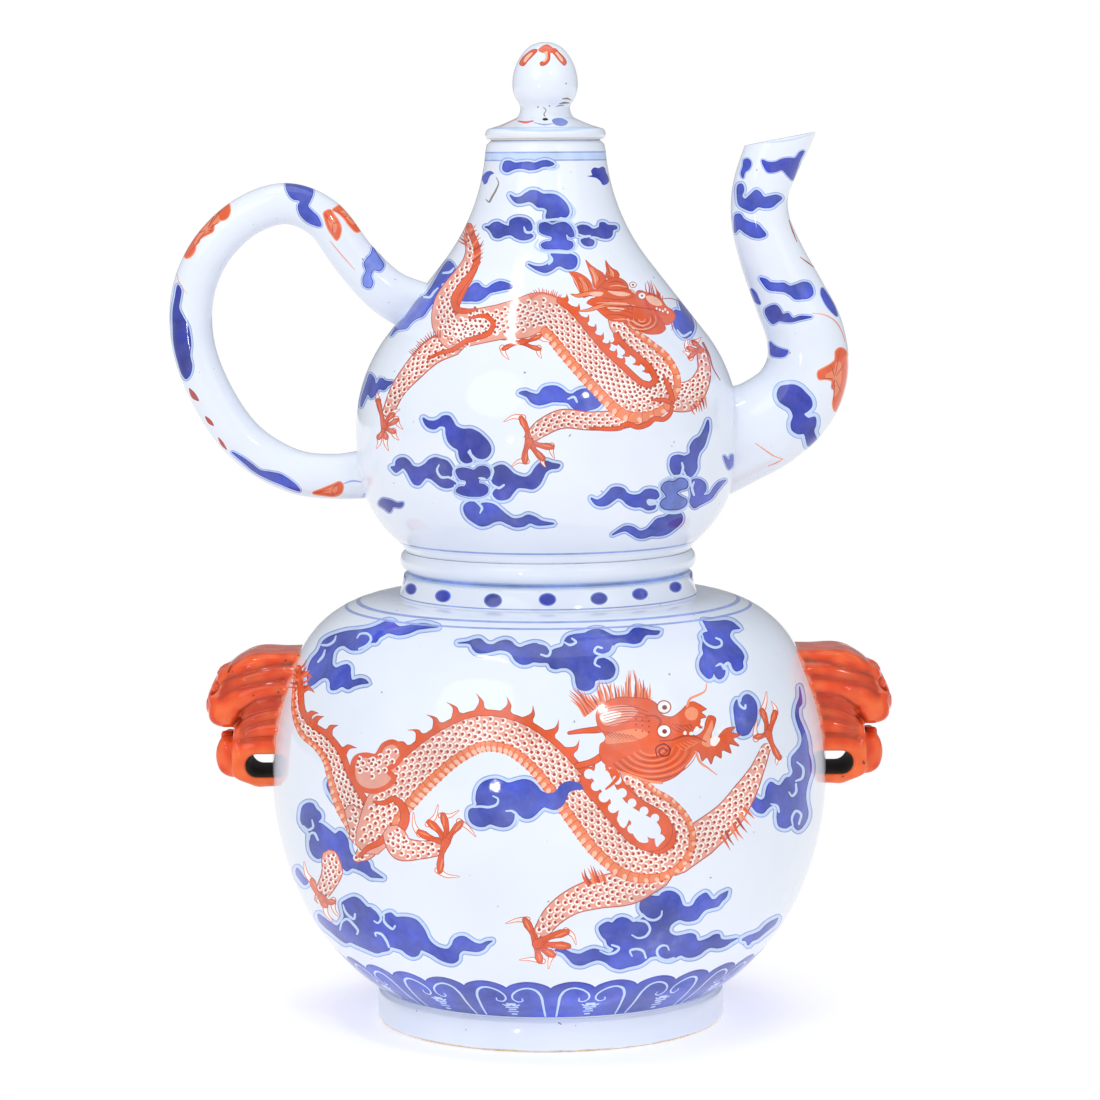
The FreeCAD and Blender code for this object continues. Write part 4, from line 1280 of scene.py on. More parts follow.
def paint_warmer_head(canvas):
    """The head of the warmer's dragon, with tufts, antlers, eyes, open jaws and mane."""
    for roots, tips, count in warmer_head_tufts:
        hairs(canvas, roots, tips, count, 3.0, ("flame", "orange", "flame", "red"))
    for extra, tone in ((1.8, "red"), (0, "orange")):
        for antler, widths in warmer_antlers:
            canvas.stroke(antler, [width + extra for width in widths], tone)
    rimmed(canvas, warmer_head, "orange", 1.6, "red")
    # Head patches, among them the painted highlight on the forehead
    for patch, tone in warmer_head_patches_and_highlights:
        canvas.fill(patch, tone)
    fan(canvas, *warmer_brow, 7, (0.5, 1.1, 0.8), ("red", "orange"))
    fan(canvas, *warmer_cheek, 5, (0.6, 1.2, 0.6), ("red",))
    fan(canvas, *warmer_lip, 5, (0.5, 1.0, 0.5), ("flame",))
    for patch, tone in warmer_mouth_patches:
        canvas.fill(patch, tone)
    for x, y, half in warmer_teeth:
        canvas.fill(disc((x, y), half, half * 1.3, 8), "white")
    mane_arcs(canvas, warmer_mane_middle, [12 + i * 2.9 for i in range(10)], (1.22, 0.93), (0.16, 2.55),
              (0.5, 1.4, 0.9), ("flame", "red"))
    fan(canvas, *warmer_nape, 8, (1.0, 0.5), ("red",))
    for centre in warmer_eyes:
        eye(canvas, centre, (6.2, 5.7), 1.2, (2.5, 2.4, 9), (0.6, 0.4))
    for line, widths, tone in warmer_head_lines:
        canvas.stroke(line, widths, tone)
    for i in range(9):
        column, row = i % 3, i // 3
        x = warmer_first_freckle[0] + column * freckle_gaps[0]
        y = warmer_first_freckle[1] + row * freckle_gaps[1] + column
        canvas.fill(disc((x, y), 0.9, 0.9, 6), "red_deep")
    for line, widths, tone in warmer_whiskers:
        canvas.stroke(line, widths, tone)


# Lappets round the foot of the warmer. An arch has shares of the pitch and of the band's height.

petals_on_front = 8
petal_band_pixels = [(548, 1017.5), (548, 1019.5), (548, 982), (548, 1021.5)]
petal_arch_shares = [(0.425, 0.03), (0.405, 0.40), (0.385, 0.66), (0.33, 0.80), (0.24, 0.85), (0.13, 0.80),
                     (0.05, 0.68), (0.045, 0.57), (0.10, 0.50), (0.16, 0.53), (0.155, 0.60)]
petal_arch_widths = (0.55, 0.6, 0.6, 0.7, 0.7, 0.6, 0.55, 0.5, 0.45, 0.3)
petal_scroll_shares = [(0.0, 0.42), (0.06, 0.38), (0.11, 0.42)]
petal_dab_shares = [(0.43, 0.045, 0.9), (0.33, 0.085, 0.6), (0.27, 0.050, 0.7), (0.20, 0.070, 0.5),
                    (0.11, 0.040, 0.8)]
petal_rim = 0.35


def paint_petals(canvas):
    """The band of lappets round the foot of the warmer."""
    foot, line_top, band_top, line_low = [place[1] for place in canvas.placed(petal_band_pixels)]
    height = band_top - foot
    pitch = canvas.surface.width / petals_on_front
    us = np.linspace(-canvas.half, canvas.half, 257)

    def top(u):
        share = (u / pitch * 2) % 1
        return foot + height * (0.86 + 0.14 * math.sin(math.pi * share) ** 0.7)

    def line_of(shares, middle, side, widths):
        line = [(middle - side * pitch * out, foot + height * rise) for out, rise in shares]
        canvas.shape(ribbon(smooth_line(line, step=0.3), widths), "wash")

    canvas.shape([(u, foot) for u in us] + [(u, top(u)) for u in us[::-1]], "cobalt")
    for i in range(-petals_on_front // 2, petals_on_front // 2):
        left = i * pitch
        middle = left + pitch * 0.5
        for side in (1, -1):
            line_of(petal_arch_shares, middle, side, petal_arch_widths)
            line_of(petal_scroll_shares, middle, side, (0.9, 0.7, 0.4))
        for rise, wide, tall in petal_dab_shares:
            line_of([(wide, rise), (-wide, rise)], middle, 1, tall)
        rim = [(u, top(u) - petal_rim) for u in np.linspace(left, left + pitch, 25)]
        canvas.shape(ribbon(np.array(rim), 0.5), "cobalt_deep")
    canvas.shape([(u, foot + petal_rim) for u in us] + [(u, foot) for u in us[::-1]], "cobalt_deep")
    canvas.shape([(u, line_low) for u in us] + [(u, line_top) for u in us[::-1]], "line")


def make_warmer():
    """The warmer's bowl, painted outside and open to its collar."""
    low, low_out = arcs_through([bowl_belly, bowl_hip, bowl_foot], (0, -1))
    seat = (collar_foot_radius, bowl_top[1])
    high, high_out = arcs_through([bowl_belly, bowl_shoulder, bowl_top, seat], (0, 1))
    places = np.concatenate((low[::-1], high[1:]))
    normals = np.concatenate((-low_out[::-1], high_out[1:]))
    canvas = Canvas(Turned(places, normals, warmer_paint_radius))
    for outline, swirls in warmer_clouds:
        cloud(canvas, outline, swirls)
    paint_warmer_dragon(canvas)
    paint_warmer_head(canvas)
    paint_petals(canvas)
    for level in shoulder_lines:
        ring_line(canvas, level, thin_line, "line")
    builder = Builder()
    builder.add_canvas(canvas, mirror_columns)
    inner = places - normals * bowl_wall
    inner = inner[(inner[:, 1] > bowl_floor) & (inner[:, 0] > collar_bore)][::-inner_step]
    rest = [seat, (collar_bore, bowl_top[1])] + inner.tolist() + [(0, bowl_floor)]
    builder.add_turned(rest, mirror_columns, smooth=True)
    builder.add_turned([(0, recess_level), (recess_radius, recess_level), bowl_foot], mirror_columns)
    obj = builder.object("warmer_bowl_painted")
    return finished(obj, glaze_painted, "warmer", "warmer_porcelain", "warmer_bowl")


# Painting of the wine pot, in photo pixels

pot_clouds = [
    ([(503, 165), (505, 161.5), (510, 161), (515, 163), (521, 162.5), (528, 162), (535, 163), (541, 161),
      (547, 160.5), (551, 162), (554, 164), (550, 166), (543, 166.5), (537, 169), (530, 170), (523, 168.5),
      (517, 168.5), (512, 170), (507, 172), (503, 170)],
     [[(555, 163), (559, 166), (555, 169), (548, 169.5)]], "cobalt", 7.0),
    ([(483, 182), (481, 178), (484, 174), (487, 171.5), (491, 171), (494, 173.5), (491, 175), (489, 178),
      (487, 183), (484, 184.5)], [], "cobalt", 0),
    ([(587, 176), (592, 175), (591, 171), (594, 167.5), (599, 168), (602, 166.5), (605, 168), (606, 172),
      (608, 176), (609, 181), (607, 184), (603, 185), (600, 181), (596, 178), (591, 177)], [],
     "cobalt_deep", 0),
    ([(510, 195), (515, 197.5), (521, 196.5), (526, 193), (531, 190.5), (537, 191), (543, 194), (549, 194),
      (556, 195), (563, 200), (568, 207), (569, 213), (566, 217), (560, 216.5), (557, 219), (556, 222),
      (549, 222), (546, 217), (547, 210), (543, 207.5), (538, 207), (533, 203), (529, 201.5), (522, 203),
      (517, 203), (513, 200)], [[(571, 203), (575, 212), (571, 219), (563, 221)]], "cobalt", 8.0),
    ([(485, 227), (489, 226), (493, 223), (498, 222), (503, 224.5), (509, 226), (510, 221), (515, 218),
      (521, 217.5), (527, 219), (531, 223), (532, 229), (529, 232), (533, 236), (530, 238.5), (523, 240),
      (516, 238), (511, 235), (505, 235.5), (499, 238), (494, 237), (491, 232), (488, 228.5)],
     [[(524, 227), (526, 232), (532, 232.5)]], "cobalt", 7.0),
    ([(576, 231), (577, 227), (582, 225), (588, 226), (593, 229), (599, 227), (600, 223), (604, 222.5),
      (608, 225), (616, 226), (617, 228.5), (613, 230), (612, 235), (609, 238), (602, 238), (596, 236),
      (591, 236), (589, 238), (594, 241), (593, 245), (588, 246), (583, 244), (581, 240), (585, 238),
      (580, 236), (577, 235)], [[(578, 234), (584, 236.5), (590, 236)]], "cobalt_deep", 7.0),
    ([(528, 264), (534, 266), (541, 266.5), (548, 264), (552, 259), (551, 254), (556, 253), (562, 253.5),
      (570, 254), (576, 257), (577, 263), (574, 268), (567, 269), (560, 266), (556, 267), (552, 270),
      (545, 272.5), (537, 270), (532, 267)], [[(549, 254), (552, 260), (549, 264)]], "cobalt", 7.0),
    ([(540, 224), (546, 222.5), (552, 225), (558, 223), (565, 222.5), (570, 226), (573, 231), (574, 236),
      (570, 237), (566, 233), (567, 240), (572, 242), (573, 246), (569, 249.5), (560, 249), (552, 249),
      (544, 248.5), (541, 245), (545, 242), (551, 241), (552, 237), (546, 235), (540, 232), (539, 228)],
     [[(537, 235), (534, 229), (538, 221.5), (549, 220), (562, 219.5), (572, 223), (577, 231), (577, 237)],
      [(577, 240), (577, 247), (571, 252), (556, 252), (542, 251.5), (535, 246), (538, 240)]], "cobalt",
     5.0),
    ([(449, 261), (455, 268), (453, 276), (447, 281), (441, 284), (442, 290), (439, 298), (433, 303),
      (428, 309), (423, 316), (416, 319), (411, 323), (407, 328), (401, 329.5), (397, 330), (391, 336),
      (395, 328), (399, 322), (404, 318), (409, 311), (414, 304), (419, 298), (425, 295), (430, 289),
      (433, 284), (437, 277), (441, 270), (445, 264)],
     [[(454, 268), (450, 272), (443, 273)], [(438, 288), (434, 292), (430, 297), (424, 297)]], "cobalt",
     5.0),
    ([(460, 300), (458, 296), (463, 291), (469, 288), (473, 284), (478, 283), (482, 287), (487, 288),
      (493, 284), (500, 281.5), (507, 283), (513, 286), (512, 288), (505, 289.5), (498, 291), (490, 293),
      (484, 298), (478, 301), (470, 301), (464, 301)], [], "cobalt", 6.0),
    ([(679, 301), (684, 301), (688, 308), (692, 318), (694, 328), (690, 336), (684, 338), (678, 333),
      (674, 325), (673, 316), (675, 310), (681, 311)], [[(677, 330), (683, 336), (691, 332)]], "cobalt",
     6.0),
    ([(519, 393), (525, 391), (531, 393), (538, 394), (543, 388), (549, 386), (556, 386), (562, 389),
      (567, 393), (572, 394), (577, 391), (583, 389), (591, 389), (598, 391), (602, 396), (602, 402),
      (598, 407), (590, 410), (580, 411), (573, 408), (568, 403), (560, 402), (552, 402), (545, 404),
      (538, 405), (531, 402), (527, 397)], [[(568, 399), (574, 397), (577, 402)]], "cobalt", 7.5),
    ([(423, 418), (428, 420.5), (434, 421), (439, 419), (443, 416), (449, 416), (453, 421), (456, 426),
      (463, 429), (471, 429), (478, 432), (484, 437), (489, 443), (491, 449), (489, 455), (484, 458.5),
      (478, 458), (473, 454), (470, 449), (467, 452), (470, 457), (472, 461), (466, 463), (461, 460),
      (459, 455), (458, 450), (452, 446), (448, 441), (446, 434), (445, 427), (440, 426), (435, 429),
      (429, 428), (425, 424)], [[(470, 450), (472, 457), (479, 461)]], "cobalt_deep", 8.0),
    ([(391, 467), (395, 466), (396, 461), (400, 458), (405, 458), (409, 461), (413, 466), (419, 467),
      (425, 464), (429, 460), (435, 457.5), (441, 459), (447, 461), (451, 466), (453, 471), (451, 476),
      (446, 478), (451, 480), (456, 484), (452, 487), (446, 488), (440, 486), (435, 482), (431, 479),
      (426, 478), (423, 481), (419, 485), (414, 484), (410, 478), (407, 472), (403, 468), (400, 470),
      (396, 472.5), (393, 470)], [[(439, 465), (437, 470), (441, 477), (449, 477)]], "cobalt_deep", 7.5),
    ([(491, 476), (492, 470), (497, 466), (503, 465), (508, 468), (513, 473), (519, 476), (526, 477),
      (531, 474), (535, 468), (540, 463), (546, 461), (552, 463), (560, 465), (558, 468), (551, 469),
      (546, 472), (543, 478), (539, 485), (533, 489), (525, 488), (518, 488), (513, 493), (509, 498),
      (503, 500), (497, 499), (493, 494), (495, 490), (499, 487), (493, 483)],
     [[(494, 486), (499, 488), (504, 485)]], "cobalt_deep", 8.0),
    ([(464, 511), (464, 506), (468, 502.5), (474, 502), (479, 506), (482, 503.5), (488, 503), (495, 505),
      (501, 510), (507, 515), (513, 518.5), (521, 518), (528, 515), (535, 517), (542, 521), (554, 523.5),
      (545, 525), (537, 525), (530, 523), (524, 526), (516, 527), (508, 524), (501, 521), (494, 522),
      (488, 525), (481, 526), (473, 522), (467, 517)], [[(480, 513), (482, 508), (478, 503)]], "cobalt",
     8.0),
    ([(457, 475), (456, 470), (461, 468), (468, 468.5), (474, 470), (478, 467), (484, 466), (489, 469),
      (490, 475), (486, 479), (480, 478), (479, 483), (484, 484.5), (488, 488), (487, 493), (482, 496),
      (475, 496.5), (467, 496), (460, 494), (456, 491), (459, 487), (465, 486), (466, 481), (460, 479)],
     [[(455, 479), (453, 472), (457, 466), (466, 465), (475, 464), (486, 463), (493, 470), (491, 479)],
      [(455, 485), (453, 492), (459, 498.5), (470, 500), (482, 499.5), (490, 495), (491, 487)],
      [(479, 478), (485, 479)], [(459, 483), (465, 483)]], "cobalt_deep", 5.0),
    ([(708, 420), (709, 428), (707, 437), (704, 446), (699, 453), (697, 461), (697, 468), (693, 475),
      (689, 477), (685, 471), (682, 466), (680, 473), (675, 475), (671, 470), (670, 463), (672, 457),
      (678, 455), (685, 456), (690, 453), (690, 447), (694, 440), (700, 436), (704, 429)],
     [[(681, 474), (683, 468), (682, 463)]], "cobalt", 7.0),
    ([(591, 498), (597, 500), (603, 497), (608, 492), (612, 488), (618, 487), (624, 489), (627, 493),
      (633, 495), (640, 494), (645, 490), (651, 489), (657, 491), (659, 496), (656, 499), (648, 499),
      (648, 503), (655, 504), (655, 508), (648, 510), (641, 507), (634, 507), (627, 504), (623, 500),
      (618, 498), (613, 501), (607, 505), (600, 506), (595, 504)],
     [[(654, 500), (648, 500.5), (649, 504), (655, 504)]], "cobalt", 7.5),
    ([(612, 535), (620, 529), (626, 526), (633, 527), (640, 531), (647, 529), (652, 524), (657, 519),
      (664, 517), (670, 514), (678, 512), (682, 515), (682, 521), (678, 526), (673, 530), (667, 534),
      (659, 536), (651, 536), (645, 538), (638, 538), (631, 534), (625, 531)], [], "cobalt", 6.0),
    ([(692, 480), (699, 479), (705, 483), (706, 490), (703, 495), (709, 494), (714, 487), (719, 482),
      (726, 480), (722, 485), (717, 491), (712, 498), (706, 502), (700, 505), (694, 508), (690, 503),
      (691, 495), (690, 487)], [[(694, 482), (692, 488), (694, 495)]], "cobalt", 5.0),
    ([(661, 489), (663, 484), (668, 481), (674, 481), (679, 478), (685, 479), (688, 483), (687, 488),
      (681, 490), (677, 493), (682, 497), (687, 500), (686, 505), (680, 509), (672, 510), (664, 509),
      (660, 505), (662, 500), (666, 497), (664, 493)],
     [[(660, 492), (659, 484), (666, 478.5), (678, 476), (689, 478), (691, 486)],
      [(659, 500), (658, 508), (667, 512.5), (681, 511.5), (689, 504)]], "cobalt_pale", 5.0),
    ([(382, 499), (390, 500), (397, 503), (403, 503), (401, 507), (393, 507), (390, 512), (384, 508),
      (379, 504)], [], "cobalt_deep", 4.0),
    ([(724, 456), (729, 460), (731, 455), (735, 457), (733, 465), (729, 469), (726, 464)], [],
     "cobalt_deep", 4.0),
    ([(740, 445), (743, 452), (744, 462), (741, 471), (738, 462), (738, 452)], [], "cobalt_deep", 3.0),
    ([(370, 374), (374, 378), (376, 384), (381, 378), (386, 381), (393, 382), (388, 386), (384, 390),
      (379, 389), (376, 394), (371, 398), (368, 394), (365, 399), (361, 407), (361, 400), (364, 390),
      (367, 381)], [[(379, 376), (383, 377)]], "cobalt", 5.0),
]


def fringe(canvas, points, reach, paint="red"):
    """Short hairs that stand out along a line."""
    line = smooth_line(points, step=2.2)
    out = normals_along(line)
    for i in range(1, len(line) - 1):
        lean = random.uniform(-1.0, 1.0)
        tip = line[i] + out[i] * reach * random.uniform(0.7, 1.15) + np.array((out[i][1], -out[i][0])) * lean
        canvas.stroke([line[i], tip], (1.5, 0.5), paint)


# The head of the pot's dragon, in photo pixels

pot_head_flames = [
    [(569, 271.8), (569, 271.8), (577.2, 272.6), (585.3, 276.9), (590.5, 282.4), (593.1, 288.4),
     (597.8, 291), (596.5, 295.3), (589, 295.9), (583.2, 297.4), (579.3, 291), (575, 283.1),
     (572.5, 276.7)],
    [(585.8, 260.2), (585.8, 260.2), (590.5, 264.9), (596.5, 269.2), (602.5, 273), (605.9, 278.8),
     (601.2, 284.6), (596.5, 288.4), (593.5, 286.3), (592.2, 278.8), (589.6, 271.3), (587.5, 265.3)],
    [(605.7, 260.6), (605.7, 260.6), (608.1, 264.1), (612, 268.3), (617.1, 271.3), (619.2, 275.6),
     (615.8, 278.8), (609.4, 278.8), (605.9, 276.7), (606.8, 270.3), (605.9, 264.9)],
]
pot_antlers = [
    [(571.2, 294.2), (577.2, 295.7), (585.8, 294), (596.5, 292.3)],
    [(577.6, 311.1), (587.9, 310.2), (598.6, 306.8), (611.5, 303.8), (626.5, 303.8)],
]
pot_head = [(594.8, 291), (601.2, 286.3), (605.9, 280.7), (612, 278.2), (618, 277.7), (623.5, 280.3),
            (627.4, 284.6), (628.7, 289.3), (632.1, 291), (635.1, 294.4), (637.7, 291), (642, 291),
            (645.9, 292.7), (650.6, 293.1), (656.6, 295.7), (661.7, 299.5), (664.3, 303.8), (667.3, 307.2),
            (672, 310.2), (675, 314.9), (673.8, 320), (670.3, 323.5), (666.5, 324.7), (664.3, 323.9),
            (665.2, 329), (660.9, 332.9), (653.4, 334.1), (645.9, 333.3), (639.4, 330.3), (633.4, 326.5),
            (626.5, 322.6), (618, 321.3), (609.4, 319.6), (602.5, 314.5), (597.4, 309.8), (592.2, 305.5),
            (587.1, 302.9), (590.9, 299.1), (596.5, 297), (592.6, 294)]
pot_head_patches = [
    [(589, 293.8), (596.5, 291.8), (603.4, 292.7), (601.2, 295.7), (593.3, 295.9)],
    [(645.9, 296.5), (652.3, 295.7), (658.7, 299.1), (662.2, 304.7), (656.6, 305.9), (649.7, 302.9)],
    [(607.7, 291), (615.8, 291.4), (625.7, 292.3), (630.8, 294.4), (624.8, 296.1), (615.8, 295.3)],
    [(607.2, 307.2), (618, 307.6), (624.8, 308.9), (620.1, 311.1), (610.7, 310.2)],
    [(630.4, 288.4), (633.4, 289.7), (636, 292.3), (633.4, 292.7), (631.3, 291)],
]
pot_head_strands = [
    [(579.3, 291), (576.3, 283.1), (572, 275.6)],
    [(583.6, 292.7), (581.9, 284.6), (576.3, 275.6)],
    [(589, 292.3), (587.9, 285.4), (582.8, 279)],
    [(595.6, 285.4), (594.8, 277.7), (589.6, 267.1)],
    [(599.1, 283.3), (599.1, 277.3), (594.8, 270.9)],
    [(608.9, 277.3), (609.4, 272.6), (607.7, 266.2)],
    [(613.2, 277.3), (613.2, 273.9), (610.2, 269.2)],
    [(601.2, 287.1), (609.4, 289.7), (619, 290.1), (628.3, 288.4)],
    [(598.6, 297), (611.5, 299.1), (624.4, 299.1), (633.4, 297)],
    [(596.5, 302.9), (609.4, 302.9), (622.3, 303.8), (635.1, 305.5)],
    [(601.2, 310.2), (611.5, 309.4), (622.3, 310.2), (633, 313.2)],
    [(605.1, 315.3), (615.8, 314.5), (626.5, 316.2), (637.3, 320.5)],
    [(613.7, 319.6), (624.4, 319.2), (635.1, 322.2), (645.9, 328.2)],
    [(602.5, 305.5), (613.7, 305.9), (624.8, 307.2)],
    [(608.5, 282.9), (615.8, 281.2), (623.5, 283.3)],
    [(609.4, 286.3), (618, 285.4), (626.5, 287.1)],
]
pot_head_tuft = ([(645.4, 292.3), (657.4, 297.4), (662.6, 300.4)],
                 [(644.1, 280.3), (649.3, 276.9), (656.6, 287.6), (663.5, 297)])
pot_eyes = [((633.0, 284.8), (3.1, 2.5)), ((642.0, 295.7), (3.5, 3.1))]
pot_mane_middle = (642.0, 319.6)
pot_teeth = [(656.6, 308.5), (659.8, 309.8), (662.8, 311.1), (665.2, 309.4), (667.7, 312.4)]
pot_head_lines = [
    [(615.8, 307.2), (630.8, 306.4), (643.7, 308.1), (656.6, 310.2), (666.5, 314.5)],
    [(629.1, 310.2), (627.4, 307.6), (630, 305.1), (633, 306.8), (631.7, 309.8)],
    [(662, 299.1), (668.4, 298.2), (675, 299.5), (682.3, 302.5)],
    [(671.6, 323.5), (672.9, 326.9), (671.6, 330.3)],
]


def paint_pot_head(canvas):
    """The head of the pot's dragon, with three flames behind it, antlers, eyes and mane."""
    for flame in pot_head_flames:
        rimmed(canvas, flame, "orange", 1.0, "red")
        canvas.fill(shrunk(flame, np.mean(flame[1:], axis=0), (0.42, 0.62)), "flame")
    rimmed(canvas, pot_head, "orange", 1.2, "red")
    for antler in pot_antlers:
        canvas.stroke(antler, (1.4, 4.6, 5.6, 4.0), "red")
        canvas.stroke(antler, (0.6, 3.2, 4.2, 2.8), "flame")
    for patch in pot_head_patches:
        canvas.fill(patch, "belly")
    for i, strand in enumerate(pot_head_strands):
        canvas.stroke(strand, (0.4, 1.0, 0.5), "red" if i % 3 else "belly")
    hairs(canvas, *pot_head_tuft, 9, 1.6, ("orange", "red"))
    for centre, white in pot_eyes:
        eye(canvas, centre, white, 0.7, (1.1, 1.1, 7))
    mane_arcs(canvas, pot_mane_middle, [2.4 + i * 2.1 for i in range(6)], (1.3, 0.9), (-0.4, 3.3),
              (0.4, 0.9, 0.5), ("belly", "red"))
    for tooth in pot_teeth:
        canvas.fill(disc(tooth, 1.0, 1.4, 7), "white")
    for line in pot_head_lines:
        canvas.stroke(line, (0.6, 1.1, 0.6), "red")


# Outlines of the pot's dragon, in photo pixels. Stations are x, y and width.

pot_legs = [
    ([(452, 342, 26), (432, 352, 24), (412, 372, 19), (398, 390, 14), (388, 412, 10)], 5.2),
    ([(496, 326, 26), (516, 330, 20), (530, 332, 14)], 5.2),
    ([(648, 408, 24), (620, 419, 19), (590, 421, 17), (562, 419, 18), (542, 428, 16), (530, 438, 11)], 5.4),
    ([(668, 396, 28), (686, 396, 30), (698, 386, 20), (704, 370, 12), (702, 354, 9)], 5.2),
]
pot_tail = [(468, 226, 3), (469, 238, 9), (472, 250, 12), (470, 262, 14), (463, 275, 17), (453, 290, 21),
            (446, 305, 24), (447, 322, 30), (455, 336, 30)]
pot_body = [(462, 330, 34), (480, 326, 34), (500, 322, 34), (522, 318, 40), (541, 312, 38), (558, 322, 40),
            (575, 342, 40), (592, 362, 40), (611, 381, 42), (634, 400, 44), (656, 398, 34), (667, 382, 26),
            (660, 364, 24), (645, 350, 22), (629, 337, 21), (618, 322, 19)]
pot_body_spikes = [(0.29, 5, -2), (0.325, 5, -2), (0.36, 5, -2), (0.395, 5, -2), (0.43, 5, -2),
                   (0.465, 5, -2), (0.50, 4, -2), (0.535, 4, -2), (0.84, 4, 2), (0.88, 5, 2), (0.92, 5, 2),
                   (0.96, 5, 2)]
pot_hip_lines = [
    ([(452, 326), (464, 334), (476, 330)], (26, 30, 24)),
    ([(474, 314), (484, 322), (492, 326)], (20, 24, 20)),
]
pot_ridge = [(480, 262), (470, 275), (460, 288), (454, 300), (457, 309), (466, 311), (478, 309)]
pot_leg_edges = [
    [(470, 318), (485, 316), (493, 323), (489, 333), (476, 338), (466, 341), (452, 350), (440, 353),
     (428, 359)],
    [(664, 377), (669, 388), (672, 402), (664, 400), (652, 400)],
    [(672, 402), (671, 412), (664, 419), (654, 419), (648, 424), (638, 427), (627, 424), (620, 428),
     (606, 429), (590, 428)],
]
pot_leg_fringe = [(442, 337), (432, 338), (422, 346), (413, 357)]
pot_back_fringe = [(530, 300), (540, 294), (552, 296), (560, 300)]
pot_tufts = [
    ([(475, 266), (474, 250), (470, 228)], [(484, 258), (484, 240), (476, 222)], 9),
    ([(466, 246), (468, 226)], [(456, 242), (462, 224), (468, 214)], 8),
    ([(690, 408), (706, 396)], [(694, 416), (708, 408)], 6),
]

# Claws: where the palm is, its toes as knuckle, tip and bow, and how wide they are
pot_claws = [
    ((384, 426),
     [((397, 420), (402, 428), 1), ((393, 414), (399, 410), -1), ((394, 432), (398, 439), 1),
      ((386, 438), (388, 449), 1), ((379, 438), (377, 447), -1), ((378, 400), (377, 394), 0)], 3.6),
    ((522, 342), [((503, 349), (508, 358), 1), ((539, 349), (541, 357), 1), ((540, 336), (549, 341), 1)],
     3.2),
    ((529, 442),
     [((521, 418), (506, 421), 2), ((552, 447), (554, 457), 1), ((543, 459), (545, 466), 1),
      ((525, 462), (513, 466), 2)], 5.0),
    ((701, 350), [((693, 342), (700, 338), 1), ((688, 348), (687, 340), -1), ((690, 357), (684, 352), 1)],
     3.4),
]
pot_long_hair = [(703, 343), (709, 355), (713, 368), (720, 380)]


def paint_pot_dragon(canvas):
    """The dragon of the pot: legs, tail, body and claws, then the head in front of the neck."""
    for stations, size in pot_legs:
        limb(canvas, stations, size)
    dragon_body(canvas, pot_tail, fin=(0.0, 0.98), belly=(0.0, 0.02), size=5.2)
    dragon_body(canvas, pot_body, (0.28, 0.97), (0.30, 0.99), pot_body_spikes, 5.6)
    for line, widths in pot_hip_lines:
        scales(canvas, smooth_line(line), widths, size=5.4)
    ridge = smooth_line(pot_ridge)
    canvas.stroke(ridge, (2, 6, 7, 7, 7, 6, 2), "red", smooth=False)
    canvas.stroke(ridge, (1, 4.6, 5.6, 5.6, 5.6, 4.6, 1), "orange", smooth=False)
    for edge in pot_leg_edges:
        canvas.stroke(edge, (2.4, 5.4, 5.6, 5.6, 5.2, 4.6, 2.6), "red")
        canvas.stroke(edge, (1.2, 4.0, 4.2, 4.2, 3.8, 3.2, 1.4), "orange")
    fringe(canvas, pot_leg_fringe, 7)
    for roots, tips, count in pot_tufts:
        hairs(canvas, roots, tips, count)
    fringe(canvas, pot_back_fringe, -6, "orange")
    for palm, toes, width in pot_claws:
        claw(canvas, palm, toes, width)
    canvas.stroke(pot_long_hair, (2.4, 2.0, 1.4, 1.0), "red")
    paint_pot_head(canvas)


handle_patches = [
    ([(286, 184), (293, 181), (303, 181), (311, 184), (313, 193), (310, 201), (308, 206), (313, 212),
      (318, 217), (321, 226), (314, 225), (306, 221), (300, 214), (298, 206), (300, 201), (293, 199),
      (288, 193)], "cobalt", 5),
    ([(324, 213), (330, 210), (334, 215), (339, 222), (341, 230), (337, 240), (333, 236), (328, 228),
      (325, 219)], "orange", 0),
    ([(333, 210), (338, 206), (343, 203), (349, 207), (355, 213), (360, 220), (362, 228), (357, 232),
      (350, 226), (343, 217), (337, 212)], "orange", 0),
    ([(373, 247), (376, 252), (380, 258), (384, 265), (380, 271), (374, 270), (371, 276), (373, 283),
      (370, 288), (364, 286), (363, 278), (366, 271), (364, 264), (367, 258), (371, 254)], "cobalt_pale",
     5),
    ([(227, 201), (230, 210), (227, 218), (222, 220), (217, 219), (214, 224), (213, 231), (208, 234),
      (201, 238), (196, 243), (195, 250), (191, 256), (186, 258), (184, 254), (188, 245), (195, 234),
      (203, 222), (212, 212), (220, 204)], "orange", 0),
    ([(178, 285), (181, 290), (180, 300), (179, 308), (183, 317), (188, 326), (190, 335), (191, 345),
      (190, 356), (192, 366), (190, 375), (186, 379), (182, 374), (178, 362), (174, 345), (173, 328),
      (173, 310), (175, 298)], "cobalt_deep", 6),
    ([(189, 388), (195, 393), (199, 401), (193, 399), (190, 394)], "red", 0),
    ([(205, 416), (211, 420), (214, 426), (208, 423)], "red", 0),
    ([(218, 437), (223, 442), (227, 450), (221, 445)], "red", 0),
    ([(232, 452), (242, 457), (252, 464), (260, 470), (270, 472), (280, 474), (290, 480), (297, 486),
      (300, 491), (292, 489), (280, 484), (268, 479), (255, 472), (244, 463)], "cobalt", 5),
    ([(313, 493), (322, 489), (332, 485), (340, 482), (343, 486), (341, 493), (334, 496), (323, 495)],
     "orange", 0),
]

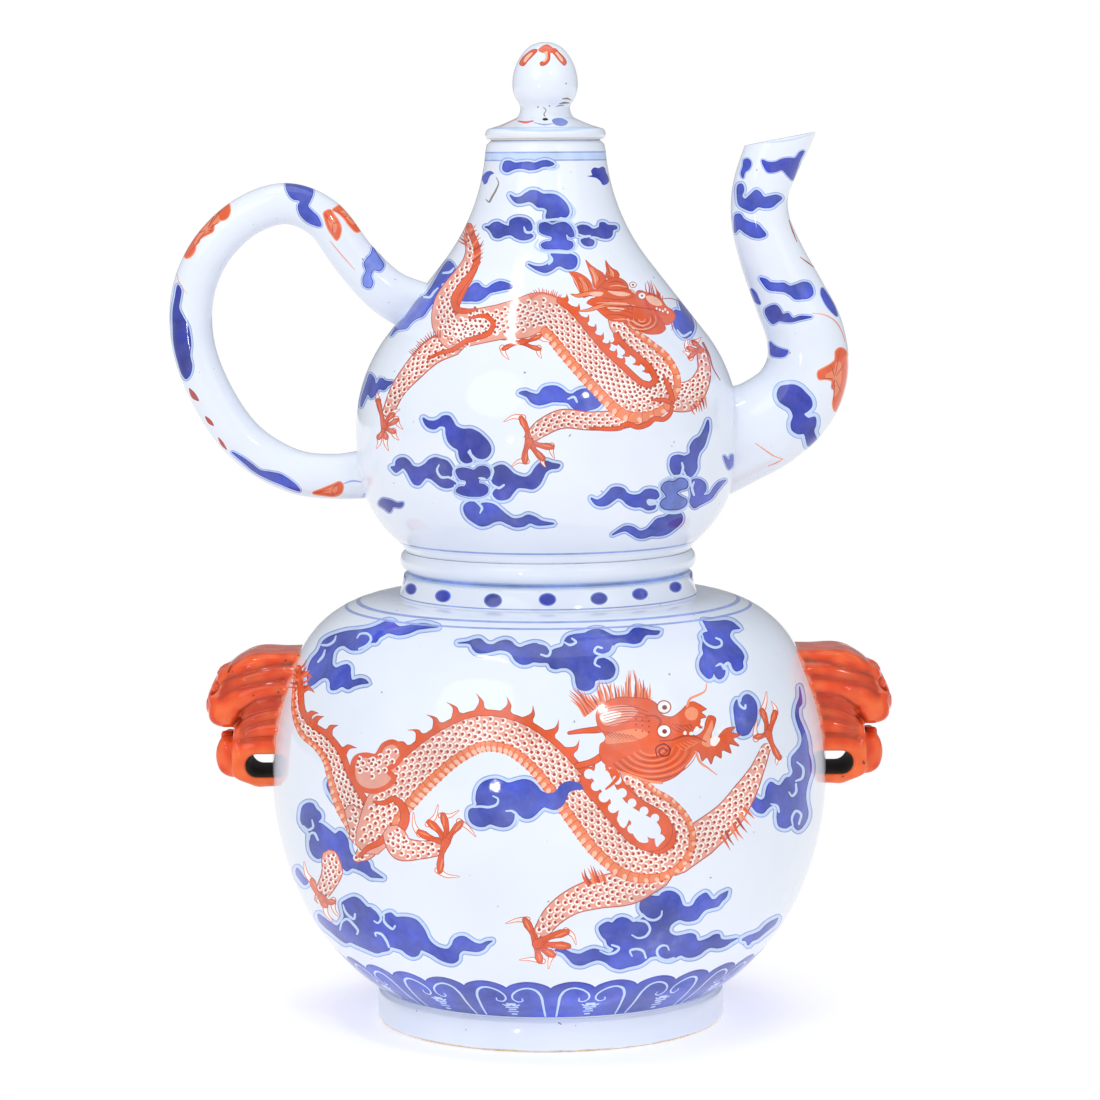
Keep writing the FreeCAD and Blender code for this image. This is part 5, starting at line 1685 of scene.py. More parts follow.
spout_patches = [
    ([(762, 160), (768, 162), (775, 162), (782, 159), (789, 158), (795, 158), (800, 152), (804, 151),
      (800, 160), (797, 170), (793, 180), (788, 176), (782, 170), (775, 172), (768, 172), (764, 167)],
     "cobalt_deep", 4),
    ([(744, 160), (748, 159), (751, 163), (749, 169), (745, 172), (743, 178), (741, 174), (743, 166)],
     "cobalt", 4),
    ([(738, 185), (742, 184), (744, 190), (742, 196), (745, 199), (750, 195), (756, 190), (760, 192),
      (764, 197), (770, 196), (777, 195), (782, 198), (777, 203), (772, 207), (765, 208), (758, 207),
      (752, 211), (745, 209), (739, 205), (737, 195)], "cobalt", 7),
    ([(735, 215), (740, 214), (744, 219), (750, 222), (757, 224), (762, 229), (766, 235), (760, 238),
      (752, 237), (745, 233), (739, 229), (735, 233), (734, 225)], "cobalt", 6),
    ([(760, 278), (766, 279), (770, 282), (777, 283), (784, 283), (790, 286), (797, 284), (803, 282),
      (809, 283), (812, 287), (813, 294), (809, 298), (802, 299), (795, 299), (790, 295), (784, 292),
      (776, 291), (769, 290), (764, 285)], "cobalt", 6),
    ([(765, 310), (770, 306), (776, 305), (780, 309), (783, 314), (788, 313), (793, 318), (800, 316),
      (812, 317), (800, 320), (792, 322), (785, 322), (779, 321), (773, 324), (768, 319)], "cobalt_deep",
     5),
    ([(751, 289), (755, 292), (758, 298), (760, 304), (756, 302), (752, 296)], "cobalt", 3),
    ([(770, 342), (775, 346), (782, 349), (788, 351), (785, 356), (778, 357), (771, 355), (770, 349)],
     "cobalt_deep", 4),
    ([(780, 387), (787, 385), (795, 385), (801, 388), (806, 393), (811, 399), (812, 406), (808, 411),
      (804, 414), (808, 418), (815, 417), (816, 424), (814, 431), (816, 437), (818, 443), (813, 447),
      (808, 446), (806, 440), (804, 434), (798, 434), (792, 430), (791, 423), (793, 416), (790, 409),
      (784, 405), (779, 401), (777, 394)], "cobalt_deep", 11),
    ([(822, 288), (827, 294), (832, 302), (836, 311), (837, 316), (833, 313), (827, 306), (823, 299),
      (821, 293)], "cobalt_deep", 3),
    ([(840, 348), (836, 351), (835, 360), (831, 364), (824, 368), (818, 372), (819, 379), (826, 379),
      (832, 381), (832, 388), (836, 391), (834, 397), (833, 405), (835, 411), (840, 405), (843, 396),
      (846, 385), (847, 372), (847, 360), (845, 350)], "orange", 0),
]

# Thin lines of the spout and the handle, and small faults of the glaze, in photo pixels

handle_lines = [
    ([(330, 241), (340, 253), (355, 270)], (0.8, 1.2, 0.6), "orange_pale"),
    ([(176, 268), (179, 282), (187, 294)], (0.5, 0.8, 0.4), "orange_pale"),
    ([(343, 484), (352, 481), (362, 482)], (0.8, 2.0, 0.8), "line"),
    ([(361, 482), (366, 489), (363, 497)], (0.8, 2.0, 0.8), "line"),
]
spout_lines = [
    ([(812, 313), (825, 315), (835, 321), (842, 332), (845, 342)], (0.7, 1.4, 0.7), "orange_pale"),
    ([(755, 443), (765, 450), (774, 456), (783, 459)], (0.7, 1.4, 0.7), "orange_pale"),
    ([(783, 459), (776, 463), (768, 466)], (0.7, 1.4, 0.7), "orange_pale"),
    ([(789, 220), (793, 232), (797, 242)], (0.7, 1.4, 0.7), "red"),
    ([(800, 257), (807, 262), (815, 268)], (0.7, 1.4, 0.7), "red"),
    ([(749, 144), (768, 142.5), (790, 140), (811, 134.5)], (0.6, 1.6, 1.6, 0.6), "wash"),
]
pot_scar = ([(496, 177), (498.5, 183), (496, 190), (492, 197), (489, 202), (486, 199.5)],
            (0.6, 1.3, 1.8, 2.0, 2.0, 0.8), "chip")


def draw(canvas, lines):
    """Thin strokes, each with its widths and its paint."""
    for line, widths, tone in lines:
        canvas.stroke(line, widths, tone)


def paint_patches(canvas, patches):
    """Small clouds and blossoms of the handle and the spout."""
    for outline, paint, halo in patches:
        spaced = looped(smooth_line(outline, closed=True))
        centre = np.mean(outline, axis=0)
        if halo:
            canvas.stroke(spaced, halo * 0.85, "line", smooth=False)
            canvas.stroke(spaced, halo * 0.85 - 1.6, "wash", smooth=False)
        elif paint == "orange":
            canvas.stroke(spaced, 2.2, "orange_pale", smooth=False)
        canvas.fill(outline, paint)
        if halo:
            canvas.stroke(spaced, 0.9, "cobalt_deep", smooth=False)
        elif paint == "orange":
            canvas.fill(shrunk(outline, centre, 0.55), "flame")
            for corner in outline[::3]:
                spoke = [shrunk(corner, centre, share) for share in (0.1, 0.5, 0.9)]
                canvas.stroke(spoke, (0.5, 1.0, 0.5), "red")


def make_pot():
    """The pot's painted wall, open at the mouth and closed towards the well by its foot."""
    low, low_out = arcs_through([pot_belly, pot_hip, pot_foot], (0, -1))
    high, high_out = arcs_through([pot_belly, pot_slope_start, pot_slope_end, pot_neck, mouth_bend,
                                   (mouth_radius, mouth_level)], (0, 1))
    places = np.concatenate((low[::-1], high[1:]))
    normals = np.concatenate((-low_out[::-1], high_out[1:]))
    canvas = Canvas(Turned(places, normals, pot_paint_radius))
    ring_line(canvas, neck_band_level, neck_band_height, "wash")
    for level in neck_lines:
        ring_line(canvas, level, thin_line, "line")
    ring_line(canvas, pot_foot_line, 0.5, "line")
    for outline, swirls, paint, halo in pot_clouds:
        if halo:
            cloud(canvas, outline, swirls, paint, halo)
        else:
            canvas.fill(outline, paint)
    paint_pot_dragon(canvas)
    draw(canvas, [pot_scar])
    builder = Builder()
    builder.add_canvas(canvas, mirror_columns)
    inner = places - normals * pot_wall
    inner = inner[(inner[:, 1] < pot_neck[1] - 1) & (inner[:, 1] > pot_foot[1] + 3)][::-inner_step]
    inner = inner[inner[:, 0] > mouth_bore + 0.1]
    foot = (pot_foot[0] - pot_wall, pot_foot[1])
    rest = [(mouth_radius, mouth_level), (mouth_bore, mouth_level)] + inner.tolist() + [foot]
    builder.add_turned(rest, mirror_columns, smooth=True)
    builder.add_turned([foot, pot_foot], mirror_columns)
    obj = builder.object("pot_body_painted")
    return finished(obj, glaze_painted, "pot", "pot_porcelain", "pot_body", "pot_neck", "pot_lower_body")


def arc_by(start, middle, end, step=0.3):
    """Points along the circle arc through three points."""
    (ax, az), (bx, bz), (cx, cz) = start, middle, end
    a, b, c = ax ** 2 + az ** 2, bx ** 2 + bz ** 2, cx ** 2 + cz ** 2
    d = 2 * (ax * (bz - cz) + bx * (cz - az) + cx * (az - bz))
    x = (a * (bz - cz) + b * (cz - az) + c * (az - bz)) / d
    z = (a * (cx - bx) + b * (ax - cx) + c * (bx - ax)) / d
    radius = math.hypot(ax - x, az - z)
    first = math.atan2(az - z, ax - x)
    turn = (math.atan2(cz - z, cx - x) - first + math.pi) % math.tau - math.pi
    count = max(4, int(abs(turn) * radius / step))
    return np.array([(x + radius * math.cos(first + turn * i / count),
                      z + radius * math.sin(first + turn * i / count)) for i in range(count + 1)])


def turned_surface(places, around, whole=False):
    """A turned surface with its outward normals taken from its outline."""
    ways = np.gradient(places, axis=0)
    ways /= np.hypot(*ways.T)[:, None]
    return Turned(places, np.stack((ways[:, 1], -ways[:, 0]), 1), around, whole)


# Dots of the collar, in photo pixels: centre, half width and half height

collar_dots = [
    ((403.5, 579), 1.6, 4.5), ((411, 589), 4.4, 4.6), ((443, 596), 6.8, 5.2), ((493, 600.5), 7.8, 6.0),
    ((547.5, 599.5), 7.6, 5.4), ((599, 598.5), 7.4, 5.2), ((640, 594), 6.8, 4.9), ((675.5, 587), 5.0, 4.4),
    ((693, 575), 2.0, 5.0),
]


def make_collar():
    """The warmer's collar with its painted dots, groove and rolled lip."""
    foot, band_top = (collar_foot_radius, bowl_top[1]), (collar_band_radius, collar_band_top)
    middle = ((foot[0] + band_top[0]) / 2 - 0.2, (foot[1] + band_top[1]) / 2)
    lip_low = (collar_groove_radius + 0.3, collar_lip_low)
    groove = [(collar_groove_radius + out, level) for out, level in (
        (0.5, collar_band_top + 0.15), (0, collar_band_top + 0.45), (0, collar_lip_low - 0.2))]
    lip = arc_by(lip_low, collar_lip_belly, (seat_radius, seat_level))
    outside = np.concatenate((arc_by(foot, middle, band_top), groove, lip))
    canvas = Canvas(turned_surface(outside, collar_paint_radius))
    for level, height, tone in collar_lines:
        ring_line(canvas, level, height, tone)
    for centre, across, down in collar_dots:
        canvas.fill(disc(centre, across + 1.3, down + 1.2), "cobalt_pale")
        canvas.fill(disc(centre, across, down), "cobalt_deep")
    builder = Builder()
    builder.add_canvas(canvas, mirror_columns, 0.9)
    corners = [(seat_radius, seat_level), (collar_bore, seat_level), (collar_bore, bowl_top[1]), foot]
    for pair in zip(corners, corners[1:]):
        builder.add_turned(pair, mirror_columns)
    obj = builder.object("warmer_collar_painted")
    return finished(obj, glaze_painted, "warmer", "collar_porcelain", "warmer_collar")


def make_foot_ring():
    """The foot ring, glazed down to its bare brownish edge."""
    bend = foot_bend
    edge = [(foot_radius - bend + bend * math.sin(a), bend - bend * math.cos(a))
            for a in np.linspace(0, math.pi / 2, 7)]
    top = [(foot_radius - inset, level) for inset, level in foot_shoulder]
    builder = Builder()
    builder.add_turned(edge + top + [bowl_foot], mirror_columns, smooth=True)
    recess = [(recess_radius, recess_level), (recess_radius, bend), (recess_radius + bend, 0)]
    builder.add_turned([bowl_foot] + recess + [(foot_radius - bend, 0)], mirror_columns)
    obj = builder.object("warmer_foot_ring_glazed")
    return finished(obj, glaze_foot, "warmer", "foot_porcelain", "warmer_foot_ring")


def make_seat_ring():
    """The ring under the pot that sits on the collar."""
    outside = [(seat_radius + out, seat_level + rise) for out, rise in seat_edge] + [pot_foot]
    inside_line = [pot_foot, (seat_bore, pot_foot[1]), (seat_bore, seat_level), outside[0]]
    builder = Builder()
    builder.add_turned(outside, mirror_columns, smooth=True)
    builder.add_turned(inside_line, mirror_columns)
    obj = builder.object("pot_seat_ring_glazed")
    return finished(obj, glaze_plain, "pot", "pot_porcelain", "pot_seat_ring")


# Painting of the lid and the knob, in photo pixels

lid_lines = [
    ([(489, 127), (515, 129.5), (545, 130.3), (575, 129.3), (598, 127)], (1.2, 2.6, 2.6, 2.6, 1.2), "wash"),
]
lid_patch = [(552, 120), (557, 118), (563, 118.5), (568, 122), (566, 125), (560, 126), (554, 124)]
lid_top_lines = [
    ([(534, 122.5), (544, 124.6), (553, 123.6)], (0.8, 1.7, 0.8), "line"),
    ([(518, 121), (525, 122.3), (533, 121)], (1.2, 2.6, 1.4), "orange"),
    ([(500, 127), (508, 122.5), (517, 118.5)], (0.6, 1.1, 0.8), "orange_pale"),
]
knob_petals = [
    [(533, 50), (527, 54), (522, 59), (520, 64), (523, 65.5), (528, 60), (533, 55), (537, 50)],
    [(552, 50), (556, 56), (561, 62), (564.5, 65), (566, 62), (563, 57), (559, 53), (555, 49)],
    [(543, 47), (545, 52), (546.5, 57), (544.5, 61), (540.5, 63), (541, 65), (545, 64.5), (549, 60),
     (549.5, 54), (548, 47)],
]
knob_cap = [(538, 50), (542, 46), (547, 44.5), (552, 47), (556, 52), (551, 53), (547, 51), (543, 53)]
knob_chips = [
    ([(562, 99), (567, 98.5), (571, 100)], (0.8, 1.8, 1.0), "chip"),
    ([(559, 104), (564, 102.8), (569, 103)], (0.6, 2.0, 1.2), "chip"),
    ([(556, 106.5), (560, 105.5), (564, 105)], (0.5, 1.2, 0.7), "chip"),
    ([(543, 107), (546, 110), (544, 114), (545, 117)], (0.5, 0.9, 0.8, 1.6), "chip"),
]
knob_pits = [(566, 83.5), (538, 107), (549.5, 106)]


def make_lid():
    """The lid's plate with its rounded edge, painted lines and small vent."""
    edge = arc_by((mouth_radius, mouth_level), (lid_radius, mouth_level + 1.54), lid_edge_top)
    dome = arc_by(lid_edge_top, lid_dome_middle, (knob_foot_radius, knob_level))
    places = np.concatenate((edge, dome[1:]))
    canvas = Canvas(turned_surface(places, lid_paint_radius, True))
    ring_line(canvas, lid_wash_level, thin_line, "wash")
    ring_line(canvas, lid_chip_level, 0.25, "chip_pale")
    draw(canvas, lid_lines)
    canvas.fill(lid_patch, "cobalt_pale")
    draw(canvas, lid_top_lines)
    # The vent is a shallow pit whose floor and walls are painted dark as painted shade.
    turns = np.linspace(0, math.tau, 14, endpoint=False)
    out, across = vent_offset + vent_radius * np.cos(turns), vent_radius * np.sin(turns)
    along = np.interp(-np.hypot(out, across), -places[len(edge):, 0], canvas.surface.length[len(edge):])
    canvas.shape(np.stack((canvas.surface.around * np.arctan2(across, out), along), 1), "hole")
    builder = Builder()
    builder.add_canvas(canvas, mirror_columns * 2, 0.8)
    builder.dig("hole", vent_depth)
    builder.add_turned([(knob_foot_radius, knob_level), (0, knob_level)], mirror_columns * 2, whole=True)
    under = [(0, lid_under_level), (knob_foot_radius, lid_under_level), (flange_root_radius, mouth_level),
             (mouth_radius, mouth_level)]
    builder.add_turned(under, mirror_columns * 2, whole=True)
    obj = builder.object("lid_plate_painted", mirror=False)
    return finished(obj, glaze_painted, "lid", "lid_porcelain", "lid_plate")


def make_knob():
    """The egg-shaped knob with red petals round its top and a few kiln pits."""
    waist = (knob_waist_radius, knob_level + knob_waist_rise)
    ball = (knob_radius, knob_level + knob_ball_rise)
    hollow = (ball[0] + (waist[0] - ball[0]) * 0.8, ball[1] + (waist[1] - ball[1]) * 0.8)
    shoulder = (ball[0] * 0.64, knob_top + (ball[1] - knob_top) * 0.225)
    low, low_out = arcs_through([ball, hollow, waist, (knob_foot_radius, knob_level)], (0, -1), 0.3)
    high, high_out = arcs_through([ball, shoulder, (0, knob_top)], (0, 1), 0.3)
    places = np.concatenate((low[::-1], high[1:]))
    normals = np.concatenate((-low_out[::-1], high_out[1:]))
    canvas = Canvas(Turned(places, normals, knob_paint_radius))
    for petal in knob_petals:
        rimmed(canvas, petal, "orange", 1.6, "red")
        canvas.fill(shrunk(petal, np.mean(petal, axis=0), (0.55, 0.62)), "belly")
    canvas.fill(knob_cap, "orange")
    draw(canvas, knob_chips)
    for pit in knob_pits:
        canvas.fill(disc(pit, 0.9, 0.8, 7), "chip")
    builder = Builder()
    builder.add_canvas(canvas, knob_columns, 0.7)
    builder.add_turned([(0, knob_level), (knob_foot_radius, knob_level)], knob_columns)
    obj = builder.object("lid_knob_painted")
    return finished(obj, glaze_painted, "lid", "knob_porcelain", "lid_knob")


def make_handle():
    """The looped handle, a closed round tube with both ends inside the body's wall."""
    stations = [(-handle_reach * out, handle_root + handle_height * rise, handle_width * girth)
                for out, rise, girth in handle_shares]
    tube = Tube(stations, handle_width / 2)
    canvas = Canvas(tube)
    paint_patches(canvas, handle_patches)
    draw(canvas, handle_lines)
    builder = Builder()
    builder.add_canvas(canvas, tube_columns, 1.0, flip=True)
    for v, along in ((0, tube.fine[0] - tube.fine[1]), (tube.height, tube.fine[-1] - tube.fine[-2])):
        loop = tube.loop(tube_columns, v)
        middle = np.broadcast_to((loop[0] + loop[-1]) / 2, loop.shape)
        builder.add_between(loop, middle, (along[0], 0, along[1]))
    obj = builder.object("pot_handle_painted")
    return finished(obj, glaze_painted, "pot", "handle_porcelain", "pot_handle")


def make_spout():
    """The S-shaped spout with its open channel and slanting lip."""
    stations = [(spout_root[0] + spout_reach * out, spout_root[1] + spout_height * rise, spout_width * girth)
                for out, rise, girth in spout_shares]
    tube = Tube(stations, spout_width / 2.6, spout_lip)
    bore = Tube([(x, z, width - spout_wall * 2) for x, z, width in stations], spout_width / 4, spout_lip)
    canvas = Canvas(tube)
    paint_patches(canvas, spout_patches)
    draw(canvas, spout_lines)
    builder = Builder()
    builder.add_canvas(canvas, tube_columns, 1.0, flip=True)
    builder.add_canvas(Canvas(bore), tube_columns, 2.5, inward=True)
    over = np.array((-spout_lip[1][1], 0, spout_lip[1][0])) / math.hypot(*spout_lip[1])
    builder.add_between(tube.loop(tube_columns, tube.height), bore.loop(tube_columns, bore.height), over)
    back = tube.fine[0] - tube.fine[1]
    builder.add_between(tube.loop(tube_columns, 0), bore.loop(tube_columns, 0), (back[0], 0, back[1]))
    obj = builder.object("pot_spout_painted")
    return finished(obj, glaze_painted, "pot", "spout_porcelain", "pot_spout")


# Lion masks. Lengths in millimetres: out from the axis, and up.

lion_plate = [(50, 91.3), (62.3, 91.5), (66, 91.9), (71.0, 91.9), (75.0, 90.8), (78.2, 88.4), (79.6, 84.5),
              (78.4, 80.5), (76.9, 77.6), (77.3, 73.5), (77.9, 69.5), (78.1, 65.5), (77.8, 62.2),
              (76.2, 60.9), (73.7, 59.9), (71.5, 59.1), (69, 59.2), (62, 59.4), (50, 59.4)]
lion_snout = [(58, 90.8), (66, 91.9), (72.2, 91.8), (76.7, 89.8), (80.2, 87.1), (82.6, 83.7), (84.1, 80.2),
              (84.3, 78.2), (83.6, 76.0), (82.0, 74.5), (80.2, 73.5), (77.4, 73.6), (74, 75.5), (62, 78)]
lion_jaw = [(70, 70.5), (76.5, 70.6), (80.2, 71.0), (81.4, 69.3), (82.0, 66.7), (81.7, 64.2), (80.8, 62.3),
            (78.9, 61.1), (76.2, 60.9), (72, 61.5)]
lion_mane = [
    [(62.8, 89.6), (68.2, 88.9), (72.1, 87.9), (78.0, 86.0), (81.0, 84.1)],
    [(64.6, 85.7), (68.9, 85.2), (74.3, 84.1), (78, 83), (80.9, 81)],
    [(65.6, 81.4), (66.7, 81.3), (71, 80.6), (75.3, 77.6)],
    [(66.6, 78.7), (68.9, 78.4), (72.4, 77.5), (76.0, 75.2)],
    [(67.0, 75.6), (70.6, 75.0), (74.6, 73.4)],
    [(67.6, 71.4), (72.0, 71.2), (75.3, 70.6)],
]
lion_hole = [(64.0, 64.55), (71.5, 64.55)]
lion_hole_half = 2.85
lion_half_width = 12.4
lion_snout_narrowing = 4.2
lion_jaw_half_width = 8.6
lion_mouth = (81.4, 0, 71.9)
lion_mouth_radii = (5.4, 7.0, 1.9)
lion_box = ((58.0, 84.38), (-13.2, 13.2), (58.95, 92.05))
lion_step = 0.4


def far_from(x, z, line):
    """Distance from flat places to a line of points."""
    best = np.full(np.broadcast(x, z).shape, 1e9)
    for (ax, az), (bx, bz) in zip(line, line[1:]):
        dx, dz = bx - ax, bz - az
        t = np.clip(((x - ax) * dx + (z - az) * dz) / max(dx * dx + dz * dz, 1e-9), 0, 1)
        best = np.minimum(best, np.hypot(x - ax - t * dx, z - az - t * dz))
    return best


def slab(x, y, z, outline, half, bend):
    """How far outside a flat outline that is given a thickness and rounded edges."""
    line = smooth_line(outline, closed=True, step=0.8)
    away = far_from(x, z, np.concatenate((line, line[:1])))
    within = inside(np.stack(np.broadcast_arrays(x, z), -1).reshape(-1, 2), line).reshape(away.shape)
    flat = np.where(within, -away, away) + bend
    thick = np.abs(y) - half + bend
    return np.minimum(np.maximum(flat, thick), 0) + np.hypot(np.maximum(flat, 0), np.maximum(thick, 0)) - bend


def egg(x, y, z, centre, radii):
    parts = [(v - c) / r for v, c, r in zip((x, y, z), centre, radii)]
    near = np.sqrt(sum(p ** 2 for p in parts))
    return near * (near - 1) / np.maximum(np.sqrt(sum((p / r) ** 2 for p, r in zip(parts, radii))), 1e-6)


def rod(x, y, z, start, end, radius):
    """How far outside a round rod between two points."""
    start, way = np.array(start, float), np.array(end, float) - start
    dx, dy, dz = x - start[0], y - start[1], z - start[2]
    t = np.clip((dx * way[0] + dy * way[1] + dz * way[2]) / (way @ way), 0, 1)
    return np.sqrt((dx - t * way[0]) ** 2 + (dy - t * way[1]) ** 2 + (dz - t * way[2]) ** 2) - radius


def joined(a, b, soft):
    h = np.clip(0.5 + 0.5 * (b - a) / soft, 0, 1)
    return b + (a - b) * h - soft * h * (1 - h)


def without(a, b, soft):
    return -joined(-a, b, soft)


def mane(x, y, z):
    """Depth of the grooves between the strands on the sides of the head."""
    depth = 0.0
    for line in lion_mane:
        away = far_from(x, z, smooth_line(line, step=0.8))
        for deep, wide in ((0.35, 0.45), (0.95, 1.60)):
            depth = depth + deep * np.exp(-(away / wide) ** 2)
    return depth * np.clip((np.abs(y) - 6) / 3, 0, 1)


# Forms of a lion's face, on one side: how it meets the head, the form, its measures and how softly

lion_face = [
    (joined, rod, ((80.4, 2.6, 86.2), (78.2, 8.4, 86.0), 1.3), 1.0),  # brow
    (joined, rod, ((82.4, 0, 80.5), (79.6, 0, 86.8), 1.4), 1.2),  # bridge of the nose
    (joined, egg, ((82.2, 2.9, 78.3), (2.3, 3.0, 2.3)), 0.9),  # nose
    (joined, egg, ((80.6, 6.3, 76.4), (3.0, 3.0, 2.7)), 0.9),  # cheek
    (without, egg, ((82.0, 4.7, 83.0), (1.9, 2.5, 2.1)), 0.8),  # eye socket
    (joined, egg, ((81.2, 4.7, 83.0), (1.7, 1.8, 1.6)), 0.3),  # eye
    (without, egg, ((82.9, 4.6, 82.9), (0.6, 0.6, 0.6)), 0.2),  # pupil
    (without, egg, ((84.4, 2.7, 77.2), (1.0, 0.9, 0.8)), 0.4),  # nostril
    (without, egg, (lion_mouth, lion_mouth_radii), 0.6),  # mouth
    (joined, rod, ((75.0, 0, 70.3), (80.2, 0, 70.6), 1.0), 0.6),  # tongue
    (without, rod, ((79.8, 10.2, 72.2), (76.6, 13.0, 79.4), 1.0), 0.9),  # groove behind the cheek
    (without, rod, ((78.6, 10.6, 60.0), (78.6, 10.6, 72.4), 1.0), 0.5),  # groove beside the jaw
]


def lion(x, y, z, bowl):
    """How far outside the lion's head a place is. Its halves are alike."""
    y = np.abs(y)
    half = lion_half_width - np.clip((x - 74) / 10, 0, 1) ** 1.6 * lion_snout_narrowing
    bend = 2.4 + np.clip((z - 76) / 13, 0, 1) * 8.8
    head = slab(x, y, z, lion_plate, lion_half_width, bend)
    head = joined(head, slab(x, y, z, lion_snout, half, 5.0), 1.0)
    head = joined(head, slab(x, y, z, lion_jaw, lion_jaw_half_width, 2.6), 0.5)
    for meet, form, measures, soft in lion_face:
        head = meet(head, form(x, y, z, *measures), soft)
    head = head + mane(x, y, z)
    head = without(head, far_from(x, z, lion_hole) - lion_hole_half, 0.9)
    head = np.maximum(head, np.interp(z, bowl[:, 1], bowl[:, 0]) - 0.3 - np.hypot(x, y))
    for value, (low, high) in zip((x, z), (lion_box[0], lion_box[2])):
        head = np.maximum(head, np.maximum(low - value, value - high))
    return head


def skin_of(field, origin, step):
    """Corners and four-sided faces of the surface where a field of samples changes sign."""
    shape = np.array(field.shape)
    total, count = np.zeros((*(shape - 1), 3)), np.zeros(shape - 1)
    solid = field < 0
    crossings = []
    for axis in range(3):
        first = [slice(None)] * 3
        second = [slice(None)] * 3
        first[axis], second[axis] = slice(None, -1), slice(1, None)
        f0, f1 = field[tuple(first)], field[tuple(second)]
        cross = solid[tuple(first)] != solid[tuple(second)]
        share = np.where(cross, f0 / np.where(cross, f0 - f1, 1), 0)
        place = np.stack(np.meshgrid(*[np.arange(n, dtype=float) for n in f0.shape], indexing="ij"), -1)
        place[..., axis] += share
        b, c = [k for k in range(3) if k != axis]
        for i in (0, 1):
            for j in (0, 1):
                part = [slice(None)] * 3
                part[b] = slice(i, shape[b] - 1 + i)
                part[c] = slice(j, shape[c] - 1 + j)
                total += place[tuple(part)] * cross[tuple(part)][..., None]
                count += cross[tuple(part)]
        crossings.append((axis, b, c, cross, solid[tuple(first)]))
    used = count > 0
    index = np.full(used.shape, -1)
    index[used] = np.arange(used.sum())
    corners = total[used] / count[used][:, None] * step + np.array(origin)
    faces = []
    for axis, b, c, cross, within in crossings:
        at = np.argwhere(cross)
        at = at[(at[:, b] > 0) & (at[:, c] > 0) & (at[:, b] < shape[b] - 1) & (at[:, c] < shape[c] - 1)]
        ring = []
        for i, j in ((1, 1), (0, 1), (0, 0), (1, 0)):
            cell = at.copy()
            cell[:, b] -= i
            cell[:, c] -= j
            ring.append(index[tuple(cell.T)])
        quads = np.stack(ring, 1)
        outward = within[tuple(at.T)] != (axis == 1)
        quads[~outward] = quads[~outward][:, ::-1]
        faces.append(quads)
    return corners, np.concatenate(faces)


# Noise of the masks' enamel, as for the glaze

enamel_density = ((130, 5, 0.62), [(0.28, 0.84), (0.5, 1.0), (0.75, 1.10)])
enamel_pits = ((520, 2, 0.4), [(0.0, 0.25), (0.24, 0.25), (0.27, 1), (1.0, 1)])
enamel_rough = ((110, 6, 0.7), [(0.3, 0.05), (0.7, 0.11)])
enamel_waves = (0.22, 0.0005, (210, 3, 0.5))
enamel_shine = 0.42
enamel_refraction = 1.52


def enamel():
    """Glossy orange-red enamel with darker pools and a few kiln pits."""
    material, nodes, links, body = shader("lion_enamel")
    paint = nodes.new("ShaderNodeAttribute")
    paint.attribute_name = "paint"
    density = layer(nodes, links, *enamel_density)
    base = mixed(nodes, links, 1.0, paint.outputs["Color"], density, "MULTIPLY")
    base = mixed(nodes, links, 1.0, base, layer(nodes, links, *enamel_pits), "MULTIPLY")
    links.new(base, body.inputs["Base Color"])
    rough = mixed(nodes, links, paint.outputs["Alpha"], grey(0.8), layer(nodes, links, *enamel_rough))
    links.new(rough, body.inputs["Roughness"])
    shine = multiplied(nodes, links, paint.outputs["Alpha"], enamel_shine)
    links.new(shine, body.inputs["Specular IOR Level"])
    body.inputs["IOR"].default_value = enamel_refraction
    uneven(nodes, links, body, *enamel_waves)
    return material


def slopes(corners, bowl):
    """Outward unit normals of the lion's head at its corners."""
    reach = 0.25
    found = []
    for axis in range(3):
        move = np.zeros(3)
        move[axis] = reach
        ahead, behind = (corners + move).T, (corners - move).T
        found.append(lion(*ahead, bowl) - lion(*behind, bowl))
    found = np.stack(found, 1)
    return found / np.maximum(np.linalg.norm(found, axis=1), 1e-9)[:, None]


def lion_tones(corners, bend):
    """Colours of the masks: enamel with random tone; paler on the strand ridges and convex edges, where the
    enamel thins and as painted highlight; darker in the grooves and hollows, where the enamel pools and as
    painted shade; and painted shade on the walls of the hole and in the mouth.
    """
    tone = np.empty((len(corners), 4))
    tone[:] = colour("ee4f1c")
    blot = np.array([noise.noise(Vector(c) * 0.31) for c in corners])
    depth = mane(*corners.T)
    for code, share in (("f2703a", np.clip(blot + 0.1, 0, 0.6)),
                        ("c63410", np.clip(-blot - 0.05, 0, 0.6)),
                        # paler on the strand ridges: partly thinner enamel, partly painted highlight
                        ("fb8240", np.clip(0.35 - depth, 0, 0.35) * (np.abs(corners[:, 1]) > 9)),
                        # darker in the deep grooves: partly pooled enamel, partly painted shade
                        ("a92c0c", np.clip(depth - 0.45, 0, 0.6)),
                        # dark brown in the hollows: painted shade
                        ("5c3a34", np.clip(-bend - 0.22, 0, 1) * np.clip(blot * 2 + 0.75, 0, 1.4)),
                        # pale pink on convex edges: partly thinner enamel, partly painted highlight
                        ("f0a488", np.clip(bend - 0.34, 0, 1) * 1.2)):
        share = np.clip(share, 0, 0.8)[:, None]
        tone = tone * (1 - share) + np.array(colour(code)) * share
    # Painted shade: the walls of the hole are coloured dark and dull.
    within = far_from(corners[:, 0], corners[:, 2], lion_hole) < lion_hole_half + 0.25
    tone[within & (np.abs(corners[:, 1]) < 11.6)] = colour("54473f", 0.2)
    # Painted shade: the inside of the mouth is coloured dark and dull.
    mouth = (egg(*corners.T, lion_mouth, (5.4, 7.0, 2.1)) < 0.25) & (corners[:, 0] < 78.4)
    tone[mouth] = colour("3e221b", 0.3)
    return tone


